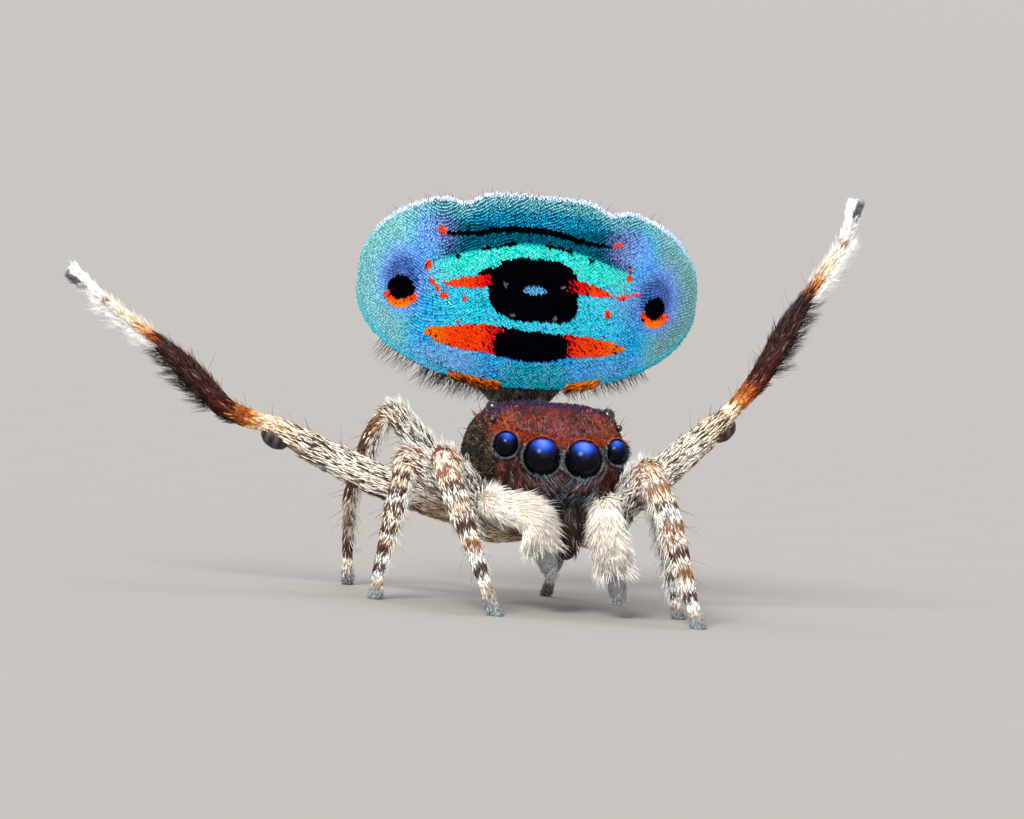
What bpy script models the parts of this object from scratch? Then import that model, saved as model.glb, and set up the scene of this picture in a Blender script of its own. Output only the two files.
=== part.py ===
"""A male peacock spider in courtship display, life size, as one still model.

It stands on six feet on the plane z = 0 and looks along -Y. The third pair of legs is raised, and the
abdomen is held upright behind the head, with its flaps spread into a fan. Shapes are worked out in
millimetres from the point midway between the two large front eyes, +X to the spider's left and +Y to
its rear. They are then tipped forward by HEAD_LEAN, lifted to EYE_LEVEL, moved over the origin and set
down in metres.
"""

import math
import random

import bmesh
import bpy
import numpy as np
from mathutils import Matrix, Vector

MM = 0.001
GAP = 0.02
SEED = 11

EYE_LEVEL = 1.72
HEAD_LEAN = math.radians(4.5)

# Head and thorax. A section is a flat-topped oval, widest at WAIST_Z.
CARAPACE_STATIONS = (
    # back, half width, top, bottom
    (-0.10, 0.44, 0.10, -0.34),
    (-0.04, 0.57, 0.18, -0.42),
    (0.12, 0.66, 0.26, -0.52),
    (0.40, 0.75, 0.37, -0.64),
    (0.75, 0.84, 0.46, -0.71),
    (1.10, 0.90, 0.49, -0.73),
    (1.45, 0.91, 0.38, -0.73),
    (1.75, 0.82, 0.12, -0.71),
    (2.00, 0.62, -0.17, -0.67),
    (2.14, 0.40, -0.34, -0.60),
)
WAIST_Z = -0.36
CARAPACE_SIDES = 22
SHOULDER_POWER = 3.4
UNDERSIDE_POWER = 3.0

STERNUM_AT = (0, 1.07, -0.85)
STERNUM_HALF = (0.33, 0.66, 0.13)
MOUTH_AT = (0, 0.33, -0.86)
MOUTH_HALF = (0.24, 0.13, 0.15)

# Eyes: out from the middle, back, height and radius. The small ones are set on the flank.
EYES = {
    "eye_front_middle": (0.232, 0.00, 0.00, 0.205),
    "eye_front_side": (0.610, 0.12, 0.095, 0.135),
    "eye_rear": (0.655, 1.02, 0.385, 0.080),
}
SMALL_EYE = (0.60, 0.30, 0.04)

CHELICERA_TOP = (0.165, 0.20, -0.45)
CHELICERA_TIP = (0.155, 0.05, -1.04)
CHELICERA_RADII = (0.15, 0.155, 0.10)

# Abdomen and fan. The fan stands upright behind the head, swung a little to the right.
FAN_X = -0.20
FAN_BACK = 2.08
FAN_Z = 1.60
FAN_HALF_WIDTH = 1.96
FAN_HALF_HEIGHT = 1.10
FAN_TOP_POWER = 2.6
FAN_FOOT_POWER = 2.15
FAN_NOTCH_RIGHT = -0.80
FAN_NOTCH_LEFT = 0.88
FAN_NOTCH_DEPTH = 0.09
FAN_NOTCH_SPREAD = 0.16
FAN_BULGE = 0.26
FLAP_HALF_THICK = 0.055
PLATE_HALF_THICK = 0.10
FRINGE_LENGTH = 0.20
ABDOMEN_AT = (-0.14, 2.50, 1.30)
ABDOMEN_HALF = (0.74, 0.46, 1.14)
PEDICEL_PATH = ((0, 2.02, -0.46), (-0.03, 2.26, -0.20), (-0.10, 2.44, 0.30))
PEDICEL_RADII = (0.20, 0.17, 0.20)

# Teats: out from the middle of the abdomen's end, back, and length.
TEATS = ((-0.07, 0.02, 0.17), (0.07, 0.02, 0.17), (-0.06, 0.13, 0.15), (0.06, 0.13, 0.15))
TEAT_RADII = (0.05, 0.03)

# Legs: pairs are counted from the front. Radii take in the short coat.
HIP_OUT = 0.24
TROCHANTER_OUT = 0.64
HIP_BACK = {1: 0.52, 2: 0.89, 3: 1.26, 4: 1.63}
HIP_Z = -0.89
HIP_RADIUS = 0.155
LEG_RADII = {
    # trochanter, mid femur, knee, patella end, mid tibia, ankle, metatarsus end, toe
    1: (0.150, 0.190, 0.150, 0.160, 0.155, 0.120, 0.095, 0.105),
    2: (0.145, 0.175, 0.135, 0.140, 0.135, 0.108, 0.088, 0.098),
    3: (0.160, 0.205, 0.115, 0.142, 0.160, 0.105, 0.082, 0.110),
    4: (0.145, 0.165, 0.130, 0.130, 0.122, 0.098, 0.082, 0.092),
}
# Knee, patella end, ankle, metatarsus end and toe. A toe with no height stands on the floor.
LEG_POSE = {
    "right_1": (
        (-1.36, -0.25, -0.06), (-1.26, -0.45, -0.36), (-1.10, -0.68, -0.76),
        (-0.93, -0.86, -1.18), (-0.75, -1.00),
    ),
    "right_2": (
        (-1.66, 0.45, -0.17), (-1.71, 0.42, -0.52), (-1.79, 0.37, -0.96),
        (-1.86, 0.33, -1.40), (-1.89, 0.30),
    ),
    "right_3": (
        (-3.06, 1.20, -0.03), (-3.60, 1.17, 0.14), (-4.37, 1.10, 0.79),
        (-5.02, 1.05, 1.22), (-5.43, 1.00, 1.54),
    ),
    "right_4": (
        (-1.66, 1.90, 0.16), (-1.84, 2.00, -0.15), (-2.01, 2.15, -0.88),
        (-1.98, 2.20, -1.44), (-1.94, 2.25),
    ),
    "left_1": (
        (0.92, -0.32, -0.04), (1.11, -0.48, -0.40), (1.28, -0.68, -0.90),
        (1.41, -0.84, -1.32), (1.52, -0.95),
    ),
    "left_2": (
        (1.15, 0.50, -0.24), (1.27, 0.46, -0.64), (1.38, 0.38, -1.10),
        (1.45, 0.32, -1.46), (1.53, 0.27),
    ),
    "left_3": (
        (2.14, 1.85, 0.33), (2.51, 1.90, 0.82), (2.97, 2.00, 1.72),
        (3.34, 1.98, 2.40), (3.45, 1.95, 2.88),
    ),
    "left_4": (
        (0.95, 2.35, -0.02), (0.88, 2.46, -0.40), (0.66, 2.56, -1.12),
        (0.50, 2.56, -1.55), (0.40, 2.52),
    ),
}
RAISED_PAIR = 3
RAISED_SAG = {"right_3": 0.07, "left_3": 0.02}
STANDING_ARCH = 0.06
SIDES = 8
RAISED_SIDES = 10

# A smooth bulb hangs under the far end of each raised femur, at this share of its length.
KNEE_BULB_AT = 0.93
KNEE_BULB_RADIUS = 0.125
KNEE_BULB_SUNK = 0.04

# Long hair, as flat locks: share of the limb at the first and last row, rows, degrees round the limb
# from its underside, length, width, thickness, and how far the tips lean along the limb.
SHIN_BRUSH = dict(band=(0.42, 0.93, 7), turns=(-18, 18), length=0.26, width=0.17, thick=0.055, lean=0.75)
SHIN_CREST = dict(band=(0.56, 0.78, 2), turns=(165, 200), length=0.15, width=0.12, thick=0.05, lean=1.2)
FOOT_FRINGE = dict(band=(0.14, 0.60, 5), turns=(-16, 20), length=0.27, width=0.16, thick=0.05, lean=0.9)
TOE_TUFT = dict(band=(0.76, 0.90, 2), turns=(-35, 35), length=0.12, width=0.11, thick=0.05, lean=1.3)
PALP_HAIR = dict(
    band=(0.05, 0.74, 5), turns=(0, 72, 144, 216, 288), length=0.28, width=0.23, thick=0.075, lean=0.95,
    wide_along=False, stagger=36,
)
LOCK_SUNK = 0.06

# Stiff bristles: shares of the limb, degrees round it and length.
FEMUR_BRISTLES = ((0.42, 0.64), (150, 210), 0.20)
SHIN_BRISTLES = ((0.45, 0.75), (-35, 35), 0.20)
FOOT_BRISTLES = ((0.20, 0.50), (-40, 40), 0.15)
BRISTLE_RADIUS = 0.013
BRISTLE_SUNK = 0.04

# Palps: shoulder, knee, wrist and tip, and the radii of the core under the long hair.
PALP_POSE = {
    "right": ((-0.44, 0.12, -0.82), (-0.72, 0.04, -0.54), (-0.32, -0.20, -0.64), (-0.06, -0.27, -1.22)),
    "left": ((0.42, 0.12, -0.82), (0.53, 0.02, -0.50), (0.56, -0.16, -0.80), (0.73, -0.24, -1.46)),
}
PALP_FEMUR_RADII = (0.11, 0.13, 0.13)
PALP_RADII = (0.13, 0.145, 0.15, 0.085)

COLOURS = {
    "carapace_brown": ((0.18, 0.05, 0.03), 0.55, 0.0),
    "eye_blue": ((0.02, 0.02, 0.12), 0.05, 0.0),
    "fan_blue": ((0.03, 0.33, 0.55), 0.35, 0.5),
    "body_dark": ((0.06, 0.045, 0.04), 0.7, 0.0),
    "palp_white": ((0.86, 0.78, 0.68), 0.8, 0.0),
    "leg_banded": ((0.48, 0.40, 0.31), 0.75, 0.0),
    "leg_brush": ((0.09, 0.035, 0.03), 0.6, 0.0),
    "leg_white": ((0.88, 0.86, 0.82), 0.75, 0.0),
}

chance = random.Random(SEED)


def clear_scene():
    for thing in list(bpy.data.objects):
        bpy.data.objects.remove(thing, do_unlink=True)


def material(name):
    """The Principled material of that name, made once."""
    if name in bpy.data.materials:
        return bpy.data.materials[name]
    colour, roughness, metallic = COLOURS[name]
    made = bpy.data.materials.new(name)
    made.use_nodes = True
    shader = made.node_tree.nodes["Principled BSDF"]
    shader.inputs["Base Color"].default_value = (*colour, 1.0)
    shader.inputs["Roughness"].default_value = roughness
    shader.inputs["Metallic"].default_value = metallic
    return made


def new_object(name, vertices, faces):
    """A mesh object with all its faces turned outwards."""
    mesh = bpy.data.meshes.new(name)
    work = bmesh.new()
    points = [work.verts.new(Vector(map(float, vertex))) for vertex in vertices]
    for face in faces:
        work.faces.new([points[i] for i in face])
    bmesh.ops.recalc_face_normals(work, faces=work.faces)
    if work.calc_volume(signed=True) < 0:
        bmesh.ops.reverse_faces(work, faces=work.faces)
    work.to_mesh(mesh)
    work.free()
    made = bpy.data.objects.new(name, mesh)
    bpy.context.scene.collection.objects.link(made)
    return made


def loft(name, rings):
    """A closed skin over rings of as many points each, with a flat face over both ends."""
    count = len(rings[0])
    vertices = [point for ring in rings for point in ring]
    faces = [tuple(reversed(range(count)))]
    for row in range(len(rings) - 1):
        for i in range(count):
            a, b = row * count + i, row * count + (i + 1) % count
            faces.append((a, b, b + count, a + count))
    last = (len(rings) - 1) * count
    faces.append(tuple(range(last, last + count)))
    return new_object(name, vertices, faces)


def apply_boolean(base, others, operation, solver="EXACT"):
    """One Boolean with the other closed meshes as a collection, applied, and the others removed."""
    group = bpy.data.collections.new("operands")
    bpy.context.scene.collection.children.link(group)
    for other in others:
        bpy.context.scene.collection.objects.unlink(other)
        group.objects.link(other)
    change = base.modifiers.new(operation.lower(), "BOOLEAN")
    change.operation = operation
    change.operand_type = "COLLECTION"
    change.collection = group
    change.solver = solver
    bpy.context.view_layer.objects.active = base
    bpy.ops.object.modifier_apply(modifier=change.name)
    for other in others:
        bpy.data.objects.remove(other, do_unlink=True)
    bpy.data.collections.remove(group)
    keep_largest(base)


def surface_from(face, left):
    """The faces that can be reached from one of them over edges that two faces share."""
    stack, found = [face], []
    left.discard(face)
    while stack:
        face = stack.pop()
        found.append(face)
        for edge in face.edges:
            if len(edge.link_faces) != 2:
                continue
            for beside in edge.link_faces:
                if beside in left:
                    left.remove(beside)
                    stack.append(beside)
    return found


def held_volume(faces):
    total = 0.0
    for face in faces:
        a, b, c = (vertex.co for vertex in face.verts)
        total += a.dot(b.cross(c)) / 6
    return total


def keep_largest(thing):
    """Keeps the closed surface that holds most, and so drops scraps and sealed hollows."""
    work = bmesh.new()
    work.from_mesh(thing.data)
    bmesh.ops.triangulate(work, faces=work.faces)
    left = set(work.faces)
    surfaces = []
    while left:
        surfaces.append(surface_from(next(iter(left)), left))
    largest = max(surfaces, key=held_volume)
    spare = [face for found in surfaces if found is not largest for face in found]
    bmesh.ops.delete(work, geom=spare, context="FACES")
    work.to_mesh(thing.data)
    work.free()


def unit(vector):
    vector = np.asarray(vector, float)
    return vector / np.linalg.norm(vector)


class Limb:
    """A round limb along a smooth curve through a few points, with a radius at each of them.

    Angles round the limb are counted from the side that faces `under`.
    """

    def __init__(self, points, radii, under, rows=7):
        self.points = np.array(points, float)
        steps = np.linalg.norm(np.diff(self.points, axis=0), axis=1)
        self.at = np.concatenate([[0.0], np.cumsum(steps)]) / steps.sum()
        self.radii = np.array(radii, float)
        self.under = unit(under)
        self.rows = rows

    def centre(self, t):
        """Catmull-Rom curve through the points, by share of the length."""
        i = int(np.clip(np.searchsorted(self.at, t, side="right") - 1, 0, len(self.at) - 2))
        p = self.points
        b, c = p[i], p[i + 1]
        a = p[i - 1] if i > 0 else 2 * b - c
        d = p[i + 2] if i + 2 < len(p) else 2 * c - b
        s = (t - self.at[i]) / (self.at[i + 1] - self.at[i])
        square, cube = 2 * a - 5 * b + 4 * c - d, 3 * b - a - 3 * c + d
        return 0.5 * (2 * b + (c - a) * s + square * s**2 + cube * s**3)

    def frame(self, t):
        """Along the limb, towards its underside, and sideways."""
        step = 0.01
        along = unit(self.centre(min(t + step, 1.0)) - self.centre(max(t - step, 0.0)))
        down = unit(self.under - (self.under @ along) * along)
        return along, down, np.cross(along, down)

    def radius(self, t):
        return float(np.interp(t, self.at, self.radii))

    def ring(self, t, sides, grow, shift=0.0, share=1.0):
        along, down, side = self.frame(t)
        middle = self.centre(t) + shift * along
        radius = (self.radius(t) + grow) * share
        turns = np.linspace(0, 2 * math.pi, sides, endpoint=False)
        return [middle + radius * (math.cos(a) * down + math.sin(a) * side) for a in turns]

    def solid(self, name, sides=SIDES, grow=0.0):
        """The limb with domed ends, or the same shape grown on every side."""
        start, end = self.radius(0) + grow, self.radius(1) + grow
        rings = [
            self.ring(0, sides, grow, -0.80 * start, 0.45),
            self.ring(0, sides, grow, -0.50 * start, 0.83),
        ]
        rings += [self.ring(t, sides, grow) for t in np.linspace(0, 1, self.rows)]
        rings += [
            self.ring(1, sides, grow, 0.50 * end, 0.83),
            self.ring(1, sides, grow, 0.80 * end, 0.45),
        ]
        return loft(name, rings)

    def root(self, t, turn, sunk):
        """A point under the surface `turn` degrees from the underside, the way out and the way along."""
        along, down, side = self.frame(t)
        out = math.cos(math.radians(turn)) * down + math.sin(math.radians(turn)) * side
        return self.centre(t) + (self.radius(t) - sunk) * out, out, along


def lock(root, out, along, length, width, thick, lean, wide_along):
    """A flat lock of hair that tapers to a point as it bends over along the lie.

    Its middle line is root + length * (s * (1 - 0.35 s) * out + lean * s^2 * along) for s from 0 to 1,
    and its section is a diamond, wide either in the plane of that line or across it.
    """
    side = unit(np.cross(out, along))
    rings = []
    for s, size in ((0.0, 0.85), (0.40, 1.0), (0.75, 0.62)):
        middle = root + length * (s * (1 - 0.35 * s) * out + lean * s**2 * along)
        way = (1 - 0.7 * s) * out + 2 * lean * s * along
        level = unit(np.cross(side, way))
        wide, narrow = (level, side) if wide_along else (side, level)
        a, b = 0.5 * size * width * wide, 0.5 * size * thick * narrow
        rings.append([middle + a, middle + b, middle - a, middle - b])
    vertices = [point for ring in rings for point in ring]
    vertices.append(root + length * (0.65 * out + lean * along))
    tip = len(vertices) - 1
    faces = [(3, 2, 1, 0)]
    for row in (0, 4):
        faces += [(row + i, row + (i + 1) % 4, row + 4 + (i + 1) % 4, row + 4 + i) for i in range(4)]
    faces += [(8 + i, 8 + (i + 1) % 4, tip) for i in range(4)]
    return new_object("lock", vertices, faces)


def spine(root, out, along, length, radius):
    """A three-sided bristle that leans along the limb."""
    side = unit(np.cross(out, along))
    back = unit(np.cross(side, out))
    lean = 0.6 * length
    rings = []
    for s, size in ((0.0, 1.0), (0.5, 0.75)):
        middle = root + length * s * out + lean * s**2 * along
        turns = (0, 2 * math.pi / 3, 4 * math.pi / 3)
        rings.append([middle + size * radius * (math.cos(a) * side + math.sin(a) * back) for a in turns])
    vertices = rings[0] + rings[1] + [root + length * out + lean * along]
    faces = [(2, 1, 0), (0, 1, 4, 3), (1, 2, 5, 4), (2, 0, 3, 5), (3, 4, 6), (4, 5, 6), (5, 3, 6)]
    return new_object("spine", vertices, faces)


def bristles(limb, rows, turns, length):
    """Spines in rings round a limb, each a little different."""
    made = []
    for t in rows:
        for turn in turns:
            root, out, along = limb.root(t, turn + chance.uniform(-12, 12), BRISTLE_SUNK)
            made.append(spine(root, out, along, length * chance.uniform(0.85, 1.2), BRISTLE_RADIUS))
    return made


def brush(limb, band, turns, length, width, thick, lean, wide_along=True, stagger=0.0):
    """Overlapping locks on a band of a limb, which lean towards its tip."""
    made = []
    for row, t in enumerate(np.linspace(*band)):
        for turn in turns:
            turn += stagger * (row % 2) + chance.uniform(-8, 8)
            root, out, along = limb.root(t + chance.uniform(-0.012, 0.012), turn, LOCK_SUNK)
            size = length * chance.uniform(0.82, 1.15)
            made.append(lock(root, out, along, size, width, thick, lean, wide_along))
    return made


def oval(name, centre, half, rows=9, sides=16, grow=0.0):
    """An ovoid with an upright axis, blunt at both ends."""
    rings = []
    for row in range(rows):
        lift = -math.cos(math.pi * (row + 0.5) / rows)
        spread = math.sqrt(1 - lift**2)
        ring = []
        for i in range(sides):
            turn = 2 * math.pi * i / sides
            ring.append(
                (
                    centre[0] + (half[0] + grow) * spread * math.cos(turn),
                    centre[1] + (half[1] + grow) * spread * math.sin(turn),
                    centre[2] + (half[2] + grow) * lift,
                )
            )
        rings.append(ring)
    return loft(name, rings)


def ball(name, centre, radius, rows, sides, grow=0.0):
    return oval(name, centre, (radius,) * 3, rows, sides, grow)


def section(back):
    """Half width, top and bottom of the head and thorax at a distance back."""
    stations = np.array(CARAPACE_STATIONS)
    return [float(np.interp(back, stations[:, 0], stations[:, k])) for k in (1, 2, 3)]


def flank(back, lift):
    """How far out the side of the head is at that height above its widest line."""
    width, top, _ = section(back)
    share = (lift - WAIST_Z) / (top - WAIST_Z)
    return width * (1 - share**SHOULDER_POWER) ** (1 / SHOULDER_POWER)


def carapace(name, grow=0.0):
    """The head and thorax: sections along Y, each boxy above its widest line and rounder below."""
    backs = sorted([station[0] for station in CARAPACE_STATIONS] + [0.26, 1.28, 1.60, 1.88])
    rings = []
    for back in backs:
        width, top, bottom = section(back)
        ring = []
        for i in range(CARAPACE_SIDES):
            turn = 2 * math.pi * i / CARAPACE_SIDES
            c, s = math.cos(turn), math.sin(turn)
            power = 2 / (SHOULDER_POWER if s > 0 else UNDERSIDE_POWER)
            reach = top - WAIST_Z if s > 0 else WAIST_Z - bottom
            x = (width + grow) * math.copysign(abs(c) ** power, c)
            z = WAIST_Z + (reach + grow) * math.copysign(abs(s) ** power, s)
            ring.append((x, back, z))
        rings.append(ring)
    for index, shift in ((0, -grow), (-1, grow)):
        rings[index] = [(x, y + shift, z) for x, y, z in rings[index]]
    return loft(name, rings)


def sternum(name, grow=0.0):
    return oval(name, STERNUM_AT, STERNUM_HALF, 6, 14, grow)


def chelicera(name, side, grow=0.0):
    top, tip = (np.array(p) * (side, 1, 1) for p in (CHELICERA_TOP, CHELICERA_TIP))
    middle = 0.5 * (top + tip) + (0, -0.07, 0)
    return Limb([top, middle, tip], CHELICERA_RADII, (0, 1, 0), 5).solid(name, 10, grow)


def fan_edge(x):
    """Top and foot of the fan at x from its middle: a rounded oblong with two notches above."""
    share = min(abs(x) / FAN_HALF_WIDTH, 1.0)
    top = FAN_HALF_HEIGHT * (1 - share**FAN_TOP_POWER) ** (1 / FAN_TOP_POWER)
    foot = -FAN_HALF_HEIGHT * (1 - share**FAN_FOOT_POWER) ** (1 / FAN_FOOT_POWER)
    for notch in (FAN_NOTCH_RIGHT, FAN_NOTCH_LEFT):
        top -= FAN_NOTCH_DEPTH * math.exp(-(((x - notch) / FAN_NOTCH_SPREAD) ** 2))
    return top, foot


def fan_bend(x, z):
    """How far back the fan's middle surface stands: it bulges forward, and its rim is rolled back."""
    u, v = x / FAN_HALF_WIDTH, z / FAN_HALF_HEIGHT
    return FAN_BULGE * (0.75 * u**2 + 0.55 * v**2 - 0.55)


def fan_piece(name, x_from, x_to, half_thick, columns, grow=0.0, sides=16):
    """A length of the fan: thin upright sections, one after another along X, closer near the rim."""
    rings = []
    for share in np.linspace(0, 1, columns):
        if abs(x_to) == FAN_HALF_WIDTH:
            share = math.sin(share * math.pi / 2)
        x = x_from + (x_to - x_from) * share
        top, foot = fan_edge(x)
        middle, reach = (top + foot) / 2, max((top - foot) / 2, 0.05)
        ring = []
        for i in range(sides):
            turn = 2 * math.pi * (i + 0.5) / sides
            c, s = math.cos(turn), math.sin(turn)
            z = middle + (reach + grow) * math.copysign(abs(s) ** 0.9, s)
            y = fan_bend(x, z) - (half_thick + grow) * math.copysign(abs(c) ** 0.6, c)
            ring.append((FAN_X + x, FAN_BACK + y, FAN_Z + z))
        rings.append(ring)
    return loft(name, rings)


def fan_fringe(xs):
    """Dark locks that hang from the foot of the fan, spread out to both sides."""
    made = []
    for x in xs:
        foot = fan_edge(x)[1]
        root = np.array((FAN_X + x, FAN_BACK + fan_bend(x, foot), FAN_Z + foot + 0.06))
        out = unit((0.5 * x / FAN_HALF_WIDTH + chance.uniform(-0.12, 0.12), 0.10, -1))
        aside = unit((math.copysign(1, x), 0.05, -0.15))
        size = FRINGE_LENGTH * chance.uniform(0.85, 1.2)
        made.append(lock(root, out, aside, size, 0.15, 0.05, 0.35, True))
    return made


def floor_height(back):
    """Height of the floor in the head's own frame, that far back."""
    return (-EYE_LEVEL - back * math.sin(HEAD_LEAN)) / math.cos(HEAD_LEAN)


def floor_block():
    """What lies under the floor, to cut each foot flat."""
    low, high, reach = -EYE_LEVEL - 1.0, -EYE_LEVEL, 9.0
    corners = ((-reach, -reach), (reach, -reach), (reach, reach), (-reach, reach))
    block = loft("floor", [[(x, y, z) for x, y in corners] for z in (low, high)])
    block.data.transform(Matrix.Rotation(-HEAD_LEAN, 4, "X"))
    return block


def leg_limbs(leg):
    """The three lengths of a leg: hip to knee, knee to ankle, and the foot."""
    pair = int(leg[-1])
    side = 1 if leg.startswith("left") else -1
    *joints, toe = LEG_POSE[leg]
    knee, patella, ankle, metatarsus = (np.array(joint, float) for joint in joints)
    toe = np.array(toe if len(toe) == 3 else (*toe, floor_height(toe[1])), float)
    hip = np.array((side * HIP_OUT, HIP_BACK[pair], HIP_Z))
    trochanter = np.array((side * TROCHANTER_OUT, HIP_BACK[pair], HIP_Z))
    trochanter += 0.10 * unit(knee - trochanter) * (1, 1, 0)
    at_hip, at_femur, at_knee, at_patella, at_tibia, at_ankle, at_metatarsus, at_toe = LEG_RADII[pair]
    raised = pair == RAISED_PAIR
    lift = -RAISED_SAG[leg] if raised else STANDING_ARCH
    under = np.array((0, 0, -1.0)) if raised else (hip - toe) * (1, 1, 0)
    femur = Limb(
        [
            hip,
            trochanter,
            0.55 * trochanter + 0.45 * knee + (0, 0, lift),
            0.15 * trochanter + 0.85 * knee + (0, 0, 0.5 * lift),
            knee,
        ],
        [HIP_RADIUS, at_hip, at_femur, 0.5 * (at_femur + at_knee) + 0.01, at_knee],
        under,
        8,
    )
    tibia = Limb(
        [knee, patella, 0.45 * patella + 0.55 * ankle, ankle],
        [0.88 * at_knee, at_patella, at_tibia, at_ankle],
        under,
        7,
    )
    foot = Limb([ankle, metatarsus, toe], [0.92 * at_ankle, at_metatarsus, at_toe], under, 6)
    return femur, tibia, foot


def build_head():
    shell = carapace("carapace")
    small_back, small_lift, small_radius = SMALL_EYE
    small = (flank(small_back, small_lift), small_back, small_lift, small_radius)
    sockets = []
    for name, (out, back, lift, radius) in {**EYES, "eye_small": small}.items():
        detail = (5, 8) if radius < 0.06 else (7, 14)
        for side, word in ((1, "left"), (-1, "right")):
            centre = (side * out, back, lift)
            finish(ball(f"{name}_{word}", centre, radius, *detail), "eye_blue")
            sockets.append(ball("socket", centre, radius, *detail, grow=GAP))
    apply_boolean(shell, sockets, "DIFFERENCE")
    finish(shell, "carapace_brown")
    plate = sternum("sternum")
    apply_boolean(plate, [carapace("cut", GAP)], "DIFFERENCE")
    finish(plate, "body_dark")
    for side, word in ((1, "left"), (-1, "right")):
        jaw = chelicera(f"chelicera_{word}", side)
        apply_boolean(jaw, [carapace("cut", GAP)], "DIFFERENCE")
        finish(jaw, "body_dark")
    mouth = oval("mouthparts", MOUTH_AT, MOUTH_HALF, 6, 12)
    around = [carapace("cut", GAP), sternum("cut", GAP)]
    around += [chelicera("cut", side, GAP) for side in (1, -1)]
    around += [leg_limbs(leg)[0].solid("cut", SIDES, GAP) for leg in ("left_1", "right_1")]
    apply_boolean(mouth, around, "DIFFERENCE")
    finish(mouth, "body_dark")


def build_abdomen():
    """The fan's plate and two flaps, and the abdomen that carries them."""
    right, left = FAN_NOTCH_RIGHT, FAN_NOTCH_LEFT
    plate = fan_piece("fan_plate", right + GAP / 2, left - GAP / 2, PLATE_HALF_THICK, 8)
    fringe = fan_fringe(np.linspace(right + 0.13, left - 0.13, 12))
    apply_boolean(plate, fringe, "UNION", "MANIFOLD")
    finish(plate, "fan_blue")
    finish(fan_piece("fan_flap_right", right - GAP / 2, -FAN_HALF_WIDTH, FLAP_HALF_THICK, 8), "fan_blue")
    finish(fan_piece("fan_flap_left", left + GAP / 2, FAN_HALF_WIDTH, FLAP_HALF_THICK, 8), "fan_blue")
    body = oval("abdomen", ABDOMEN_AT, ABDOMEN_HALF, 9, 16)
    apply_boolean(body, [fan_piece("cut", right, left, PLATE_HALF_THICK, 8, GAP)], "DIFFERENCE")
    finish(body, "body_dark")
    stalk = Limb(PEDICEL_PATH, PEDICEL_RADII, (0, -1, 0), 5).solid("pedicel", 10)
    cutters = [carapace("cut", GAP), oval("cut", ABDOMEN_AT, ABDOMEN_HALF, 9, 16, GAP)]
    apply_boolean(stalk, cutters, "DIFFERENCE")
    finish(stalk, "body_dark")
    build_spinnerets()


def build_spinnerets():
    """Four short teats on the end of the raised abdomen, joined at their roots."""
    x, back, lift = ABDOMEN_AT
    top = lift + ABDOMEN_HALF[2]
    base = Limb([(x, back + 0.06, top - 0.16), (x, back + 0.09, top + 0.03)], [0.16, 0.13], (0, -1, 0), 2)
    cluster = base.solid("spinnerets", 8)
    teats = []
    for across, behind, size in TEATS:
        foot = np.array((x + across, back + behind, top - 0.02))
        tip = foot + size * unit((across, 0.10, 1))
        teats.append(Limb([foot, tip], TEAT_RADII, (0, -1, 0), 2).solid("teat", 6))
    apply_boolean(cluster, teats, "UNION", "MANIFOLD")
    apply_boolean(cluster, [oval("cut", ABDOMEN_AT, ABDOMEN_HALF, 9, 16, GAP)], "DIFFERENCE")
    finish(cluster, "body_dark")


def build_leg(leg):
    femur, tibia, foot = leg_limbs(leg)
    raised = leg.endswith(str(RAISED_PAIR))
    sides = RAISED_SIDES if raised else SIDES

    thigh = femur.solid(f"leg_{leg}_femur", sides)
    bulb_at = femur.root(KNEE_BULB_AT, 0, KNEE_BULB_SUNK)[0]
    hair = bristles(femur, *FEMUR_BRISTLES)
    if raised:
        hair.append(ball("bulb", bulb_at, KNEE_BULB_RADIUS, 6, 10))
    apply_boolean(thigh, hair, "UNION", "MANIFOLD")
    apply_boolean(thigh, [carapace("cut", GAP), sternum("cut", GAP)], "DIFFERENCE")
    finish(thigh, "leg_banded")

    shin = tibia.solid(f"leg_{leg}_tibia", sides)
    if raised:
        hair = brush(tibia, **SHIN_BRUSH) + brush(tibia, **SHIN_CREST)
    else:
        hair = bristles(tibia, *SHIN_BRISTLES)
    apply_boolean(shin, hair, "UNION", "MANIFOLD")
    cutters = [femur.solid("cut", sides, GAP)]
    if raised:
        cutters.append(ball("cut", bulb_at, KNEE_BULB_RADIUS, 6, 10, GAP))
    apply_boolean(shin, cutters, "DIFFERENCE")
    finish(shin, "leg_brush" if raised else "leg_banded")

    tarsus = foot.solid(f"leg_{leg}_foot", sides)
    if raised:
        hair = brush(foot, **FOOT_FRINGE) + brush(foot, **TOE_TUFT)
    else:
        hair = bristles(foot, *FOOT_BRISTLES)
    apply_boolean(tarsus, hair, "UNION", "MANIFOLD")
    cutters = [tibia.solid("cut", sides, GAP)]
    if not raised:
        cutters.append(floor_block())
    apply_boolean(tarsus, cutters, "DIFFERENCE")
    finish(tarsus, "leg_white" if raised else "leg_banded")


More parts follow.
